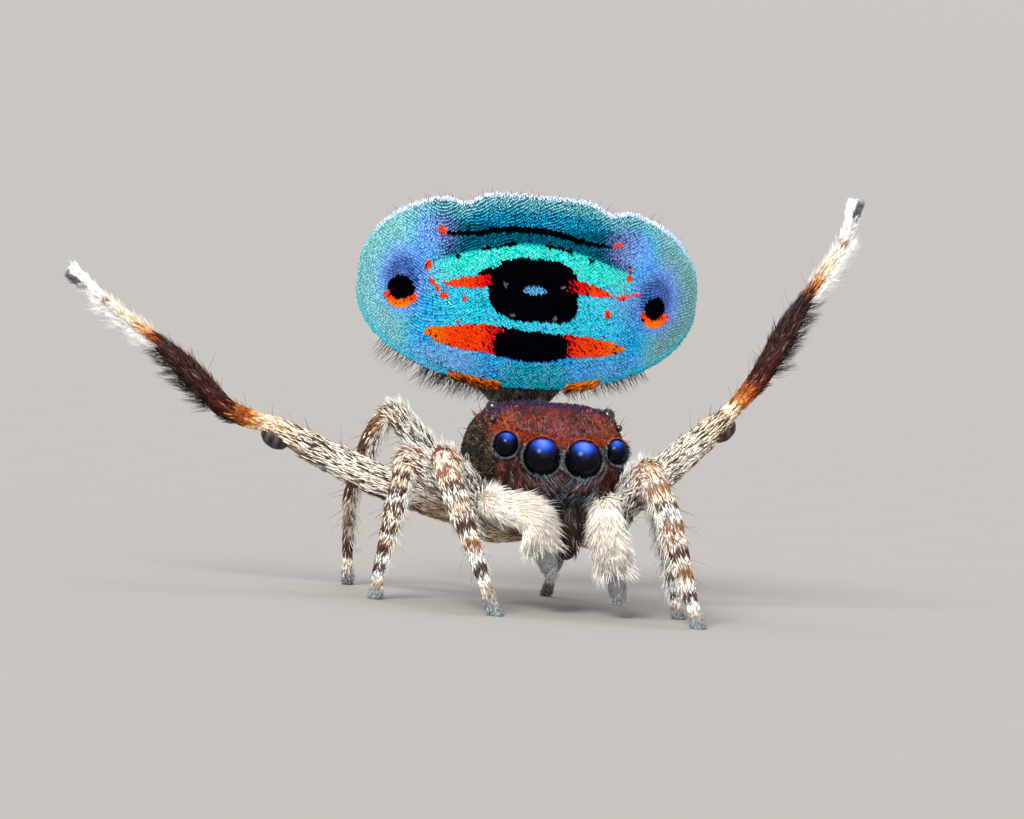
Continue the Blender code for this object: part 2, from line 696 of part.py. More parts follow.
def build_palp(word):
    """A palp: its bare femur, and the rest of it under locks of long hair that overlap towards the tip."""
    shoulder, knee, wrist, tip = (np.array(point, float) for point in PALP_POSE[word])
    side = 1 if word == "left" else -1
    elbow = 0.5 * (shoulder + knee) + (0.03 * side, 0.02, 0)
    femur = Limb([shoulder, elbow, knee], PALP_FEMUR_RADII, (0, 1, 0), 4)
    rest = Limb([knee, wrist, 0.5 * (wrist + tip) + (0, -0.03, 0), tip], PALP_RADII, (0, 1, 0), 7)
    front_leg = leg_limbs(f"{word}_1")[0]
    arm = femur.solid(f"palp_{word}_femur", 8)
    around = [
        carapace("cut", GAP),
        sternum("cut", GAP),
        oval("cut", MOUTH_AT, MOUTH_HALF, 6, 12, GAP),
        chelicera("cut", side, GAP),
        front_leg.solid("cut", SIDES, GAP),
    ]
    apply_boolean(arm, around, "DIFFERENCE")
    finish(arm, "body_dark")

    hand = rest.solid(f"palp_{word}", 10)
    apply_boolean(hand, brush(rest, **PALP_HAIR), "UNION", "MANIFOLD")
    around = [
        femur.solid("cut", 8, GAP),
        carapace("cut", GAP),
        chelicera("cut", 1, GAP),
        chelicera("cut", -1, GAP),
        front_leg.solid("cut", SIDES, GAP),
    ]
    apply_boolean(hand, around, "DIFFERENCE")
    finish(hand, "palp_white")


def finish(thing, colour):
    """Gives a piece its material, and takes it from the head's frame to the world's, in metres."""
    stand = Matrix.Translation((0, 0, EYE_LEVEL)) @ Matrix.Rotation(HEAD_LEAN, 4, "X")
    thing.data.transform(Matrix.Scale(MM, 4) @ stand)
    thing.data.materials.clear()
    thing.data.materials.append(material(colour))
    thing.data.shade_smooth()
    thing.data.set_sharp_from_angle(angle=math.radians(40))


def stand_over_origin():
    """Moves all the pieces together, so that the middle of their box is over the origin."""
    corners = [vertex.co for thing in bpy.data.objects for vertex in thing.data.vertices]
    xs, ys = [corner.x for corner in corners], [corner.y for corner in corners]
    shift = Vector((-(min(xs) + max(xs)) / 2, -(min(ys) + max(ys)) / 2, 0))
    for thing in bpy.data.objects:
        thing.data.transform(Matrix.Translation(shift))


def main():
    clear_scene()
    build_head()
    build_abdomen()
    for leg in LEG_POSE:
        build_leg(leg)
    for word in PALP_POSE:
        build_palp(word)
    stand_over_origin()


main()
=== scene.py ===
"""Looks of the male peacock spider: skins, scales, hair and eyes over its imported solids.

Shapes are worked out in millimetres in the head's own frame, which starts midway between the two large
front eyes, with +X to the spider's left and +Y to its rear. `placed` tips them forward by HEAD_LEAN and
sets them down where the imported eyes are, in metres.
"""

import math

import bpy
import numpy as np
from mathutils import Matrix, Vector


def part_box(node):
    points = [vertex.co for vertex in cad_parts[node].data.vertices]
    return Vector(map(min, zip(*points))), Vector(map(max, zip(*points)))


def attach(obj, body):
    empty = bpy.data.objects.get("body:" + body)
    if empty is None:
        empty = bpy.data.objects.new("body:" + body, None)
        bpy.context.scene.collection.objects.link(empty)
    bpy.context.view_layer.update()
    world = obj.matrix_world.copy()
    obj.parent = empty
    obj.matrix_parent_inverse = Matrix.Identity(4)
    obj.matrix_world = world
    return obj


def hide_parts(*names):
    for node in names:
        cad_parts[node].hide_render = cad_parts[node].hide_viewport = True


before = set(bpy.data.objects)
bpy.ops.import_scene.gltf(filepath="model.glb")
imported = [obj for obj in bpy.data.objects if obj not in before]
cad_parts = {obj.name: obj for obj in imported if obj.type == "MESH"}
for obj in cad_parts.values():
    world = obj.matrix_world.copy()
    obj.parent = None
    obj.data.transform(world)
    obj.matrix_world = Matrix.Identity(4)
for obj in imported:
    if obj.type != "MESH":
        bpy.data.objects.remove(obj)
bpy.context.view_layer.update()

MM = 0.001
HEAD_LEAN = math.radians(4.5)
FLOOR_SKIM = 0.000001
chance = np.random.default_rng(11)

# Sizes that the solids have too, in millimetres in the head's frame.
CARAPACE_STATIONS = (
    # back, half width, top, bottom; the first and last close the ends
    (-0.135, 0.02, -0.34, -0.37),
    (-0.130, 0.24, -0.05, -0.36),
    (-0.100, 0.44, 0.10, -0.36),
    (-0.04, 0.57, 0.18, -0.42),
    (0.12, 0.66, 0.26, -0.52),
    (0.40, 0.75, 0.37, -0.64),
    (0.75, 0.84, 0.46, -0.71),
    (1.10, 0.90, 0.49, -0.73),
    (1.45, 0.91, 0.38, -0.73),
    (1.75, 0.82, 0.12, -0.71),
    (2.00, 0.62, -0.17, -0.67),
    (2.12, 0.40, -0.34, -0.60),
    (2.16, 0.02, -0.355, -0.37),
)
WAIST_Z = -0.36
SHOULDER_POWER = 3.4
UNDERSIDE_POWER = 3.0
STERNUM = ((0, 1.07, -0.85), (0.33, 0.66, 0.13))
MOUTH = ((0, 0.33, -0.86), (0.24, 0.13, 0.15))
EYES = {
    "eye_front_middle": (0.232, 0.00, 0.00, 0.205),
    "eye_front_side": (0.610, 0.12, 0.095, 0.135),
    "eye_rear": (0.655, 1.02, 0.385, 0.080),
    "eye_small": (0.714, 0.60, 0.30, 0.040),
}
EYE_TURN = {"eye_front_middle": 0.0, "eye_front_side": 0.35, "eye_rear": 1.4, "eye_small": 1.3}
CHELICERA = ((0.165, 0.20, -0.45), (0.16, 0.055, -0.745), (0.155, 0.05, -1.04))
CHELICERA_RADII = (0.15, 0.155, 0.10)

FAN_AT = np.array((-0.20, 2.08, 1.60))
FAN_HALF_WIDTH = 1.96
FAN_HALF_HEIGHT = 1.10
FAN_TOP_POWER = 2.6
FAN_FOOT_POWER = 2.15
FAN_NOTCHES = (-0.80, 0.88)
FAN_NOTCH_DEPTH = 0.09
FAN_NOTCH_SPREAD = 0.16
FAN_BULGE = 0.26
FLAP_HALF_THICK = 0.055
PLATE_HALF_THICK = 0.10
ABDOMEN = ((-0.14, 2.50, 1.30), (0.74, 0.46, 1.14))
PEDICEL_PATH = ((0, 2.02, -0.46), (-0.03, 2.26, -0.20), (-0.10, 2.44, 0.30))
PEDICEL_RADII = (0.20, 0.17, 0.20)
TEATS = ((-0.07, 0.02, 0.17), (0.07, 0.02, 0.17), (-0.06, 0.13, 0.15), (0.06, 0.13, 0.15))
TEAT_RADII = (0.05, 0.03)

HIP_OUT = 0.24
TROCHANTER_OUT = 0.64
HIP_BACK = {1: 0.52, 2: 0.89, 3: 1.26, 4: 1.63}
HIP_Z = -0.89
HIP_RADIUS = 0.155
LEG_RADII = {
    # trochanter, mid femur, knee, patella end, mid tibia, ankle, metatarsus end, toe
    1: (0.150, 0.190, 0.150, 0.160, 0.155, 0.120, 0.095, 0.105),
    2: (0.145, 0.175, 0.135, 0.140, 0.135, 0.108, 0.088, 0.098),
    3: (0.160, 0.205, 0.115, 0.142, 0.160, 0.105, 0.082, 0.110),
    4: (0.145, 0.165, 0.130, 0.130, 0.122, 0.098, 0.082, 0.092),
}
# Knee, patella end, ankle, metatarsus end and toe. A toe with no height stands on the floor.
LEG_POSE = {
    "right_1": (
        (-1.36, -0.25, -0.06), (-1.26, -0.45, -0.36), (-1.10, -0.68, -0.76),
        (-0.93, -0.86, -1.18), (-0.75, -1.00),
    ),
    "right_2": (
        (-1.66, 0.45, -0.17), (-1.71, 0.42, -0.52), (-1.79, 0.37, -0.96),
        (-1.86, 0.33, -1.40), (-1.89, 0.30),
    ),
    "right_3": (
        (-3.06, 1.20, -0.03), (-3.60, 1.17, 0.14), (-4.37, 1.10, 0.79),
        (-5.02, 1.05, 1.22), (-5.43, 1.00, 1.54),
    ),
    "right_4": (
        (-1.66, 1.90, 0.16), (-1.84, 2.00, -0.15), (-2.01, 2.15, -0.88),
        (-1.98, 2.20, -1.44), (-1.94, 2.25),
    ),
    "left_1": (
        (0.92, -0.32, -0.04), (1.11, -0.48, -0.40), (1.28, -0.68, -0.90),
        (1.41, -0.84, -1.32), (1.52, -0.95),
    ),
    "left_2": (
        (1.15, 0.50, -0.24), (1.27, 0.46, -0.64), (1.38, 0.38, -1.10),
        (1.45, 0.32, -1.46), (1.53, 0.27),
    ),
    "left_3": (
        (2.14, 1.85, 0.33), (2.51, 1.90, 0.82), (2.97, 2.00, 1.72),
        (3.34, 1.98, 2.40), (3.45, 1.95, 2.88),
    ),
    "left_4": (
        (0.95, 2.35, -0.02), (0.88, 2.46, -0.40), (0.66, 2.56, -1.12),
        (0.50, 2.56, -1.55), (0.40, 2.52),
    ),
}
RAISED_PAIR = 3
RAISED_SAG = {"right_3": 0.07, "left_3": 0.02}
STANDING_ARCH = 0.06
KNEE_BULB_AT = 0.97
KNEE_BULB_RADIUS = 0.125
KNEE_BULB_SUNK = 0.04
PALP_POSE = {
    "right": ((-0.44, 0.12, -0.82), (-0.72, 0.04, -0.54), (-0.32, -0.20, -0.64), (-0.06, -0.27, -1.22)),
    "left": ((0.42, 0.12, -0.82), (0.53, 0.02, -0.50), (0.56, -0.16, -0.80), (0.73, -0.24, -1.46)),
}
PALP_FEMUR_RADII = (0.11, 0.13, 0.13)
PALP_RADII = (0.13, 0.145, 0.15, 0.085)

# How far the skins lie inside the solids, so that the coat comes out at the solids' surface.
LEG_COAT = 0.035
BODY_COAT = 0.015
FAN_COAT = 0.020


def rgb(red, green, blue):
    """A colour named by its screen values from 0 to 255, as linear light."""
    share = np.array((red, green, blue)) / 255
    return np.where(share <= 0.04045, share / 12.92, ((share + 0.055) / 1.055) ** 2.4)


CREAM = rgb(254, 234, 208)
IVORY = rgb(250, 240, 225)
WHITE = rgb(252, 251, 248)
PALE_GREY = rgb(234, 230, 222)
TAN = rgb(196, 152, 96)
GOLD = rgb(222, 170, 92)
ORANGE = rgb(186, 106, 46)
RUST = rgb(168, 70, 26)
FAWN = rgb(182, 154, 134)
BROWN = rgb(158, 108, 72)
UMBER = rgb(98, 64, 48)
MAROON = rgb(62, 22, 20)
BLACK = rgb(22, 20, 20)
SOOT = rgb(74, 60, 50)
PLUM = rgb(92, 62, 58)
SLATE = rgb(96, 102, 106)
BLUE_GREY = rgb(172, 184, 188)
BRICK = rgb(132, 32, 24)
DIM_GREY = PALE_GREY * 0.6
DIM_BLUE = BLUE_GREY * 0.6
DIM_SLATE = SLATE * 0.6
PALE_SLATE = SLATE * 1.6
DIM_SOOT = SOOT * 0.9


def unit(vectors):
    """Vectors brought to length 1."""
    vectors = np.asarray(vectors, float)
    return vectors / np.maximum(np.linalg.norm(vectors, axis=-1, keepdims=True), 1e-12)


def rows_of(*columns):
    """Rows made of columns, each of them an array or one number that every row has."""
    return np.stack(np.broadcast_arrays(*columns), -1)


def mixed(low, high, share):
    """The blend of two colours or numbers, by a share for each row."""
    share = np.clip(np.asarray(share, float), 0, 1)[..., None]
    return np.asarray(low) * (1 - share) + np.asarray(high) * share


def smooth(low, high, value):
    """A smooth step from 0 at low to 1 at high."""
    s = np.clip((np.asarray(value, float) - low) / (high - low), 0, 1)
    return s * s * (3 - 2 * s)


def ripple(points, size, seed):
    """A soft noise from -1 to 1 over points: a sum of sines along seeded directions, about `size` across."""
    draw = np.random.default_rng(seed)
    total = np.zeros(points.shape[:-1])
    for _ in range(7):
        way = unit(draw.normal(size=points.shape[-1])) * draw.uniform(0.6, 1.6) * 2 * math.pi / size
        total += np.sin(points @ way + draw.uniform(0, 2 * math.pi))
    return total / 3.2


def head_centre():
    """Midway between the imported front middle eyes, in metres."""
    middles = []
    for side in ("left", "right"):
        low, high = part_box("eye_front_middle_" + side)
        middles.append((np.array(low) + np.array(high)) / 2)
    return (middles[0] + middles[1]) / 2


HEAD_AT = head_centre()


def leaned(vectors):
    """Directions of the head's frame, tipped forward into the world's."""
    x, y, z = np.moveaxis(np.asarray(vectors, float), -1, 0)
    c, s = math.cos(HEAD_LEAN), math.sin(HEAD_LEAN)
    return rows_of(x, y * c - z * s, y * s + z * c)


def placed(points):
    """Points of the head's frame in the world's, in metres. Nothing goes through the floor."""
    world = leaned(points) * MM + HEAD_AT
    world[..., 2] = np.maximum(world[..., 2], FLOOR_SKIM)
    return world


def make_piece(name, points, faces, finish, replaces=(), tint=None, share=None, patch=None):
    """A mesh from arrays: points, lists of faces with as many corners each, and values at the points.

    tint is a colour, share a number that the material knows by the same name, and patch a place on the
    unwrap of the skin.
    """
    mesh = bpy.data.meshes.new(name)
    corners = np.concatenate([group.ravel() for group in faces]).astype(np.int32)
    sizes = np.concatenate([np.full(len(group), group.shape[1]) for group in faces])
    starts = np.concatenate([[0], np.cumsum(sizes)[:-1]]).astype(np.int32)
    mesh.vertices.add(len(points))
    mesh.vertices.foreach_set("co", placed(points).astype(np.float32).ravel())
    mesh.loops.add(len(corners))
    mesh.loops.foreach_set("vertex_index", corners)
    mesh.polygons.add(len(starts))
    mesh.polygons.foreach_set("loop_start", starts)
    mesh.update(calc_edges=True)
    mesh.shade_smooth()
    if tint is not None:
        layer = mesh.color_attributes.new("tint", "FLOAT_COLOR", "POINT")
        full = np.concatenate([np.clip(tint, 0, 1), np.ones((len(points), 1))], 1)
        layer.data.foreach_set("color", full.astype(np.float32).ravel())
    if share is not None:
        layer = mesh.attributes.new("share", "FLOAT", "POINT")
        layer.data.foreach_set("value", np.asarray(share, np.float32))
    if patch is not None:
        layer = mesh.uv_layers.new(name="OFBake")
        layer.data.foreach_set("uv", patch[corners].astype(np.float32).ravel())
    piece = bpy.data.objects.new(name, mesh)
    bpy.context.scene.collection.objects.link(piece)
    mesh.materials.append(finish)
    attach(piece, "root")
    if replaces:
        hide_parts(*replaces)
    return piece


# Materials


class Finish:
    """A material, with short ways to add and join its nodes."""

    def __init__(self, name, **constants):
        self.material = bpy.data.materials.new(name)
        self.material.use_nodes = True
        self.tree = self.material.node_tree
        self.shader = self.tree.nodes["Principled BSDF"]
        for socket, value in constants.items():
            self.shader.inputs[socket.replace("_", " ").title().replace("Ior", "IOR")].default_value = value
        self.place = self.add("ShaderNodeTexCoord").outputs["Object"]

    def add(self, kind, **settings):
        made = self.tree.nodes.new(kind)
        for setting, value in settings.items():
            setattr(made, setting, value)
        return made

    def attribute(self, name, output):
        return self.add("ShaderNodeAttribute", attribute_name=name).outputs[output]

    def join(self, source, target):
        self.tree.links.new(source, target)

    def feed(self, source, socket):
        self.join(source, self.shader.inputs[socket])

    def group(self, tree, **values):
        made = self.add("ShaderNodeGroup", node_tree=tree)
        self.join(self.place, made.inputs["Place"])
        for socket, value in values.items():
            made.inputs[socket].default_value = value
        return made.outputs[0]

    def speckled_colour(self, colour, scale, low, high):
        """The colour times a number that goes from low to high over the surface, in grains of 1 / scale."""
        product = self.add("ShaderNodeVectorMath", operation="SCALE")
        self.join(colour, product.inputs[0])
        self.join(self.group(SPECKLE, Scale=scale, Low=low, High=high), product.inputs["Scale"])
        self.feed(product.outputs["Vector"], "Base Color")

    def speckled_roughness(self, scale, low, high):
        self.feed(self.group(SPECKLE, Scale=scale, Low=low, High=high), "Roughness")


def new_group(name, inputs, output, kind):
    """An empty node group with a Place and some numbers for inputs, and one output."""
    tree = bpy.data.node_groups.new(name, "ShaderNodeTree")
    tree.interface.new_socket("Place", in_out="INPUT", socket_type="NodeSocketVector")
    for socket, value in inputs.items():
        made = tree.interface.new_socket(socket, in_out="INPUT", socket_type="NodeSocketFloat")
        made.default_value = value
    tree.interface.new_socket(output, in_out="OUTPUT", socket_type=kind)
    return tree, tree.nodes.new("NodeGroupInput"), tree.nodes.new("NodeGroupOutput")


def speckle_group():
    """A number that varies over the surface from Low to High in grains of 1 / Scale."""
    numbers = {"Scale": 20000, "Low": 0.7, "High": 1.2}
    tree, given, out = new_group("speckle", numbers, "Factor", "NodeSocketFloat")
    noise = tree.nodes.new("ShaderNodeTexNoise")
    noise.inputs["Detail"].default_value = 2.0
    span = tree.nodes.new("ShaderNodeMapRange")
    span.inputs["From Min"].default_value = 0.3
    span.inputs["From Max"].default_value = 0.7
    tree.links.new(given.outputs["Place"], noise.inputs["Vector"])
    tree.links.new(given.outputs["Scale"], noise.inputs["Scale"])
    tree.links.new(noise.outputs["Fac"], span.inputs["Value"])
    tree.links.new(given.outputs["Low"], span.inputs["To Min"])
    tree.links.new(given.outputs["High"], span.inputs["To Max"])
    tree.links.new(span.outputs["Result"], out.inputs["Factor"])
    return tree


def pitting_group():
    """A normal that shows small pits, 1 / Scale apart, as on hard cuticle."""
    tree, given, out = new_group("pitting", {"Scale": 40000, "Depth": 0.000004}, "Normal", "NodeSocketVector")
    cells = tree.nodes.new("ShaderNodeTexVoronoi")
    bump = tree.nodes.new("ShaderNodeBump")
    bump.inputs["Strength"].default_value = 0.6
    tree.links.new(given.outputs["Place"], cells.inputs["Vector"])
    tree.links.new(given.outputs["Scale"], cells.inputs["Scale"])
    tree.links.new(cells.outputs["Distance"], bump.inputs["Height"])
    tree.links.new(given.outputs["Depth"], bump.inputs["Distance"])
    tree.links.new(bump.outputs["Normal"], out.inputs["Normal"])
    return tree


SPECKLE = speckle_group()
PITTING = pitting_group()


def hair_finish(name, low, high, **constants):
    """Hair takes its colour from the tint of each point, a little lighter and darker along it."""
    made = Finish(name, **constants)
    made.speckled_colour(made.attribute("tint", "Color"), 45000, low, high)
    made.speckled_roughness(30000, 0.38, 0.62)
    return made.material


def scale_finish():
    """Scales of the fan: their share says how much of the light they throw back like metal."""
    made = Finish("iridescent_scales", specular_ior_level=0.0)
    made.speckled_colour(made.attribute("tint", "Color"), 60000, 0.75, 1.2)
    made.speckled_roughness(25000, 0.24, 0.46)
    made.feed(made.attribute("share", "Fac"), "Metallic")
    return made.material


def cuticle_finish(name, low, high, depth, **constants):
    """Bare cuticle: tinted by its points, finely pitted, and duller in places."""
    made = Finish(name, **constants)
    made.speckled_colour(made.attribute("tint", "Color"), 16000, 0.7, 1.25)
    made.speckled_roughness(9000, low, high)
    made.feed(made.group(PITTING, Scale=45000, Depth=depth), "Normal")
    return made.material


def eye_finish():
    """A black lens with a violet-blue sheen painted as a reflection: its share is its strength, 0 to 1."""
    made = Finish("eye_lens", coat_weight=0.09, coat_roughness=0.16, specular_ior_level=0.05)
    # painted reflection: the ramp runs from the black lens to the violet-blue of the reflected light above
    ramp = made.add("ShaderNodeValToRGB")
    stops = (
        (0.00, rgb(5, 4, 14)),
        (0.16, rgb(5, 8, 32)),
        (0.36, rgb(8, 28, 84)),
        (0.60, rgb(22, 56, 150)),
        (0.82, rgb(48, 80, 190)),
        (1.00, rgb(82, 98, 206)),
    )
    while len(ramp.color_ramp.elements) < len(stops):
        ramp.color_ramp.elements.new(0.5)
    for element, (at, colour) in zip(ramp.color_ramp.elements, stops):
        element.position = at
        element.color = (*colour, 1)
    made.join(made.attribute("share", "Fac"), ramp.inputs["Fac"])
    made.speckled_colour(ramp.outputs["Color"], 12000, 0.85, 1.1)
    made.speckled_roughness(8000, 0.15, 0.25)
    return made.material


COAT = hair_finish("banded_hair", 0.8, 1.15, specular_ior_level=0.12)
SILK = hair_finish(
    "soft_white_hair", 0.97, 1.06, specular_ior_level=0.3, sheen_weight=1.0, sheen_roughness=0.6
)
SCALES = scale_finish()
CUTICLE = cuticle_finish("cuticle", 0.40, 0.62, 0.000003, specular_ior_level=0.25)
BULB = cuticle_finish("smooth_cuticle", 0.15, 0.3, 0.000001, coat_weight=0.4)
EYE = eye_finish()


# Surfaces


def cubic(points, before, part):
    """The Catmull-Rom cubic through a list of points, at a part of the way from point `before` to the next.

    The list is drawn on past both ends by a point as far off as its neighbour on the other side.
    """
    full = np.concatenate([[2 * points[0] - points[1]], points, [2 * points[-1] - points[-2]]])
    a, b, c, d = (full[before + k] for k in range(4))
    square, cube = 2 * a - 5 * b + 4 * c - d, 3 * b - a - 3 * c + d
    return 0.5 * (2 * b + (c - a) * part + square * part**2 + cube * part**3)


def chord_shares(points):
    """The share of a line's length at each of its points, measured along its chords."""
    steps = np.linalg.norm(np.diff(np.array(points, float), axis=0), axis=1)
    return np.concatenate([[0.0], np.cumsum(steps)]) / steps.sum()


def catmull(points, share):
    """The cubic through a few points, by share of the length of its chords, as in the solids."""
    points = np.array(points, float)
    at = chord_shares(points)
    before = np.clip(np.searchsorted(at, share, side="right") - 1, 0, len(at) - 2)
    part = (share - at[before]) / (at[before + 1] - at[before])
    return cubic(points, before, part[:, None])


def sampled(points, radii, counts, number):
    """Centres, radii and counts of joints along a line, at even shares of its length."""
    share = np.linspace(0, 1, number)
    at = chord_shares(points)
    return catmull(points, share), np.interp(share, at, radii), np.interp(share, at, counts)


def softened(values, width):
    """Even samples blurred by a bell of that many samples, with both ends kept where they are."""
    reach = int(3 * width)
    bell = np.exp(-0.5 * (np.arange(-reach, reach + 1) / width) ** 2)
    bell /= bell.sum()
    values = np.asarray(values, float)
    flat = values.reshape(len(values), -1)
    before = 2 * flat[0] - flat[reach:0:-1]
    after = 2 * flat[-1] - flat[-2 : -reach - 2 : -1]
    padded = np.concatenate([before, flat, after])
    blurred = np.stack([np.convolve(column, bell, "valid") for column in padded.T], 1)
    return blurred.reshape(values.shape)


class Course:
    """The middle line of a limb, sampled evenly, with its radius, its count of joints and its own axes.

    Angles round it are counted in degrees from the side that faces `under`.
    """

    def __init__(self, centres, radii, joints, under, rows, blur):
        steps = np.linalg.norm(np.diff(centres, axis=0), axis=1)
        length = np.concatenate([[0.0], np.cumsum(steps)])
        even = np.linspace(0, length[-1], rows)
        self.length = length[-1]
        self.centres = np.stack([np.interp(even, length, centres[:, k]) for k in range(3)], 1)
        self.radii = np.interp(even, length, radii)
        self.joints = np.interp(even, length, joints)
        if blur:
            self.centres = softened(self.centres, blur * rows / self.length)
            self.radii = softened(self.radii, 0.5 * blur * rows / self.length)
        self.along = unit(np.gradient(self.centres, axis=0))
        under = unit(np.asarray(under, float))
        self.down = unit(under - (self.along @ under)[:, None] * self.along)
        self.side = np.cross(self.along, self.down)

    def at(self, share, values):
        """Values of the rows at shares of the length."""
        place = np.clip(share, 0, 1) * (len(values) - 1)
        low = np.minimum(place.astype(int), len(values) - 2)
        part = place - low
        if values.ndim == 2:
            part = part[:, None]
        return values[low] * (1 - part) + values[low + 1] * part

    def surface(self, share, turn, inset):
        """Points of the skin, the ways out and along there, and the count of joints."""
        angle = np.radians(turn)[:, None]
        down, side = self.at(share, self.down), self.at(share, self.side)
        out = unit(np.cos(angle) * down + np.sin(angle) * side)
        radius = self.at(share, self.radii) - inset
        root = self.at(share, self.centres) + radius[:, None] * out
        return root, out, unit(self.at(share, self.along)), self.at(share, self.joints)

    def grid(self, columns, inset):
        """Rings of the skin with a dome at both ends, and the joints and turns of their points."""
        turn = np.linspace(0, 360, columns, endpoint=False)
        angle = np.radians(turn)[:, None]
        rings, joints = [], []

        def add_dome(end, sign, tips):
            radius = self.radii[end] - inset
            ring = np.cos(angle) * self.down[end] + np.sin(angle) * self.side[end]
            for tip in np.radians(tips):
                middle = self.centres[end] + sign * self.along[end] * radius * math.sin(tip)
                rings.append(middle + radius * math.cos(tip) * ring)
                joints.append(np.full(columns, self.joints[end]))

        add_dome(0, -1, (80, 60, 40, 20))
        for row in np.linspace(0, 1, len(self.centres)):
            root, _, _, count = self.surface(np.full(columns, row), turn, inset)
            rings.append(root)
            joints.append(count)
        add_dome(-1, 1, (20, 40, 60, 80))
        return np.array(rings), np.array(joints), np.tile(turn, (len(rings), 1))


def closed_surface(rings):
    """Points and faces of rings that are joined in order, with a fan of triangles over both ends.

    Where the volume inside comes out negative, the faces are turned over.
    """
    rows, columns = rings.shape[:2]
    points = np.concatenate([rings.reshape(-1, 3), [rings[0].mean(0)], [rings[-1].mean(0)]])
    row, column = np.meshgrid(np.arange(rows - 1), np.arange(columns), indexing="ij")
    beside = (column + 1) % columns
    quads = rows_of(row * columns + column, row * columns + beside)
    quads = np.concatenate([quads, quads[..., ::-1] + columns], -1).reshape(-1, 4)
    ring = np.arange(columns)
    after = (ring + 1) % columns
    last_ring = (rows - 1) * columns
    start = rows_of(after, ring, rows * columns)
    end = rows_of(ring + last_ring, after + last_ring, rows * columns + 1)
    volume = 0.0
    for group in (start, end, quads[:, :3], quads[:, [0, 2, 3]]):
        a, b, c = (points[group[:, k]] for k in range(3))
        volume += np.einsum("ij,ij->i", a, np.cross(b, c)).sum()
    if volume < 0:
        quads, start, end = quads[:, ::-1], start[:, ::-1], end[:, ::-1]
    return points, [quads, np.concatenate([start, end])]


def skin_piece(name, rings, tint, finish, replaces=()):
    """A closed skin from rings and the tints of their points; the middle of an end takes its ring's mean."""
    points, faces = closed_surface(rings)
    tints = np.concatenate([tint.reshape(-1, 3), [tint[0].mean(0)], [tint[-1].mean(0)]])
    return make_piece(name, points, faces, finish, replaces, tint=tints)


def skin_grid(rows, columns, margin=0.0):
    """The two parameters of a skin: from end to end but for a margin, and round it."""
    ends = np.linspace(margin, 1 - margin, rows)
    return np.meshgrid(ends, np.linspace(0, 1, columns, endpoint=False), indexing="ij")


def on_surface(shape, u, v, step=0.002):
    """Points of a surface, and the ways out there: square to the ways in which u and v rise."""
    along = unit(shape(u + step, v) - shape(u - step, v))
    around = unit(shape(u, v + step) - shape(u, v - step))
    return shape(u, v), unit(np.cross(along, around))


def carapace_shape(u, v, inset=BODY_COAT):
    """The head and thorax: boxy ovals along Y, with u from front to rear and v round from its left side.

    The stations are blended by the cubic over their count, and a boxy oval's x and z are powers of the
    cosine and sine of the turn.
    """
    stations = np.array(CARAPACE_STATIONS)
    place = np.clip(u, 0, 1) * (len(stations) - 1)
    before = np.minimum(place.astype(int), len(stations) - 2)
    blended = cubic(stations, before, (place - before)[..., None])
    back, width, top, bottom = np.moveaxis(blended, -1, 0)
    turn = 2 * math.pi * v
    c, s = np.cos(turn), np.sin(turn)
    power = np.where(s > 0, 2 / SHOULDER_POWER, 2 / UNDERSIDE_POWER)
    reach = np.where(s > 0, top - WAIST_Z, WAIST_Z - bottom) - inset
    x = (width - inset) * np.sign(c) * np.abs(c) ** power
    z = WAIST_Z + reach * np.sign(s) * np.abs(s) ** power
    return rows_of(x, back, z)


def head_surface(u, v):
    """The skin of the head as it ends up, and the ways out of it.

    The shape is pushed in round each front eye, up to its widest circle, and swells into a low collar
    round each rear eye.
    """
    root, out = on_surface(carapace_shape, u, v)
    away = root - np.array((0, 1.0, -0.2))
    out = out * np.sign((out * away).sum(-1))[..., None]
    push = 0.004 * ripple(root, 0.15, 51)
    for name, centre, radius, facing in eye_places():
        gap = root - centre
        along = gap @ facing
        across = np.linalg.norm(gap - along[..., None] * facing, axis=-1)
        if name.startswith("eye_front"):
            near = smooth(1.45 * radius, 1.02 * radius, across) * (along > -radius)
            push = push - near * np.clip(along + 0.01, 0, 0.2)
        elif name.startswith("eye_rear"):
            push = push + 0.020 * np.exp(-(((np.linalg.norm(gap, axis=-1) - radius) / 0.040) ** 2))
    return root + push[..., None] * out, out


def oval_shape(centre, half, inset):
    """An ovoid, with u from its foot to its top and v round: its half sizes, less an inset, times a ball."""

    def shape(u, v):
        tip, turn = math.pi * np.clip(u, 0, 1), 2 * math.pi * v
        ball = rows_of(np.sin(tip) * np.cos(turn), np.sin(tip) * np.sin(turn), -np.cos(tip))
        return np.array(centre) + (np.array(half) - inset) * ball

    return shape


def ball_angles(rows, columns):
    """The angles of a ball's rings, from pole to pole without the poles, and round it."""
    tip = np.linspace(0, math.pi, rows + 2)[1:-1, None]
    return tip, np.linspace(0, 2 * math.pi, columns, endpoint=False)[None, :]


def fan_edge(x):
    """Top and foot of the fan at x from its middle: a rounded oblong with two notches above."""
    share = np.minimum(np.abs(x) / FAN_HALF_WIDTH, 1.0)
    top = FAN_HALF_HEIGHT * (1 - share**FAN_TOP_POWER) ** (1 / FAN_TOP_POWER)
    foot = -FAN_HALF_HEIGHT * (1 - share**FAN_FOOT_POWER) ** (1 / FAN_FOOT_POWER)
    for notch in FAN_NOTCHES:
        top = top - FAN_NOTCH_DEPTH * np.exp(-(((x - notch) / FAN_NOTCH_SPREAD) ** 2))
    return top, foot


def fan_bend(x, z):
    """How far back the fan's middle surface stands: it bulges forward, and its rim is rolled back."""
    u, v = x / FAN_HALF_WIDTH, z / FAN_HALF_HEIGHT
    return FAN_BULGE * (0.75 * u**2 + 0.55 * v**2 - 0.55)


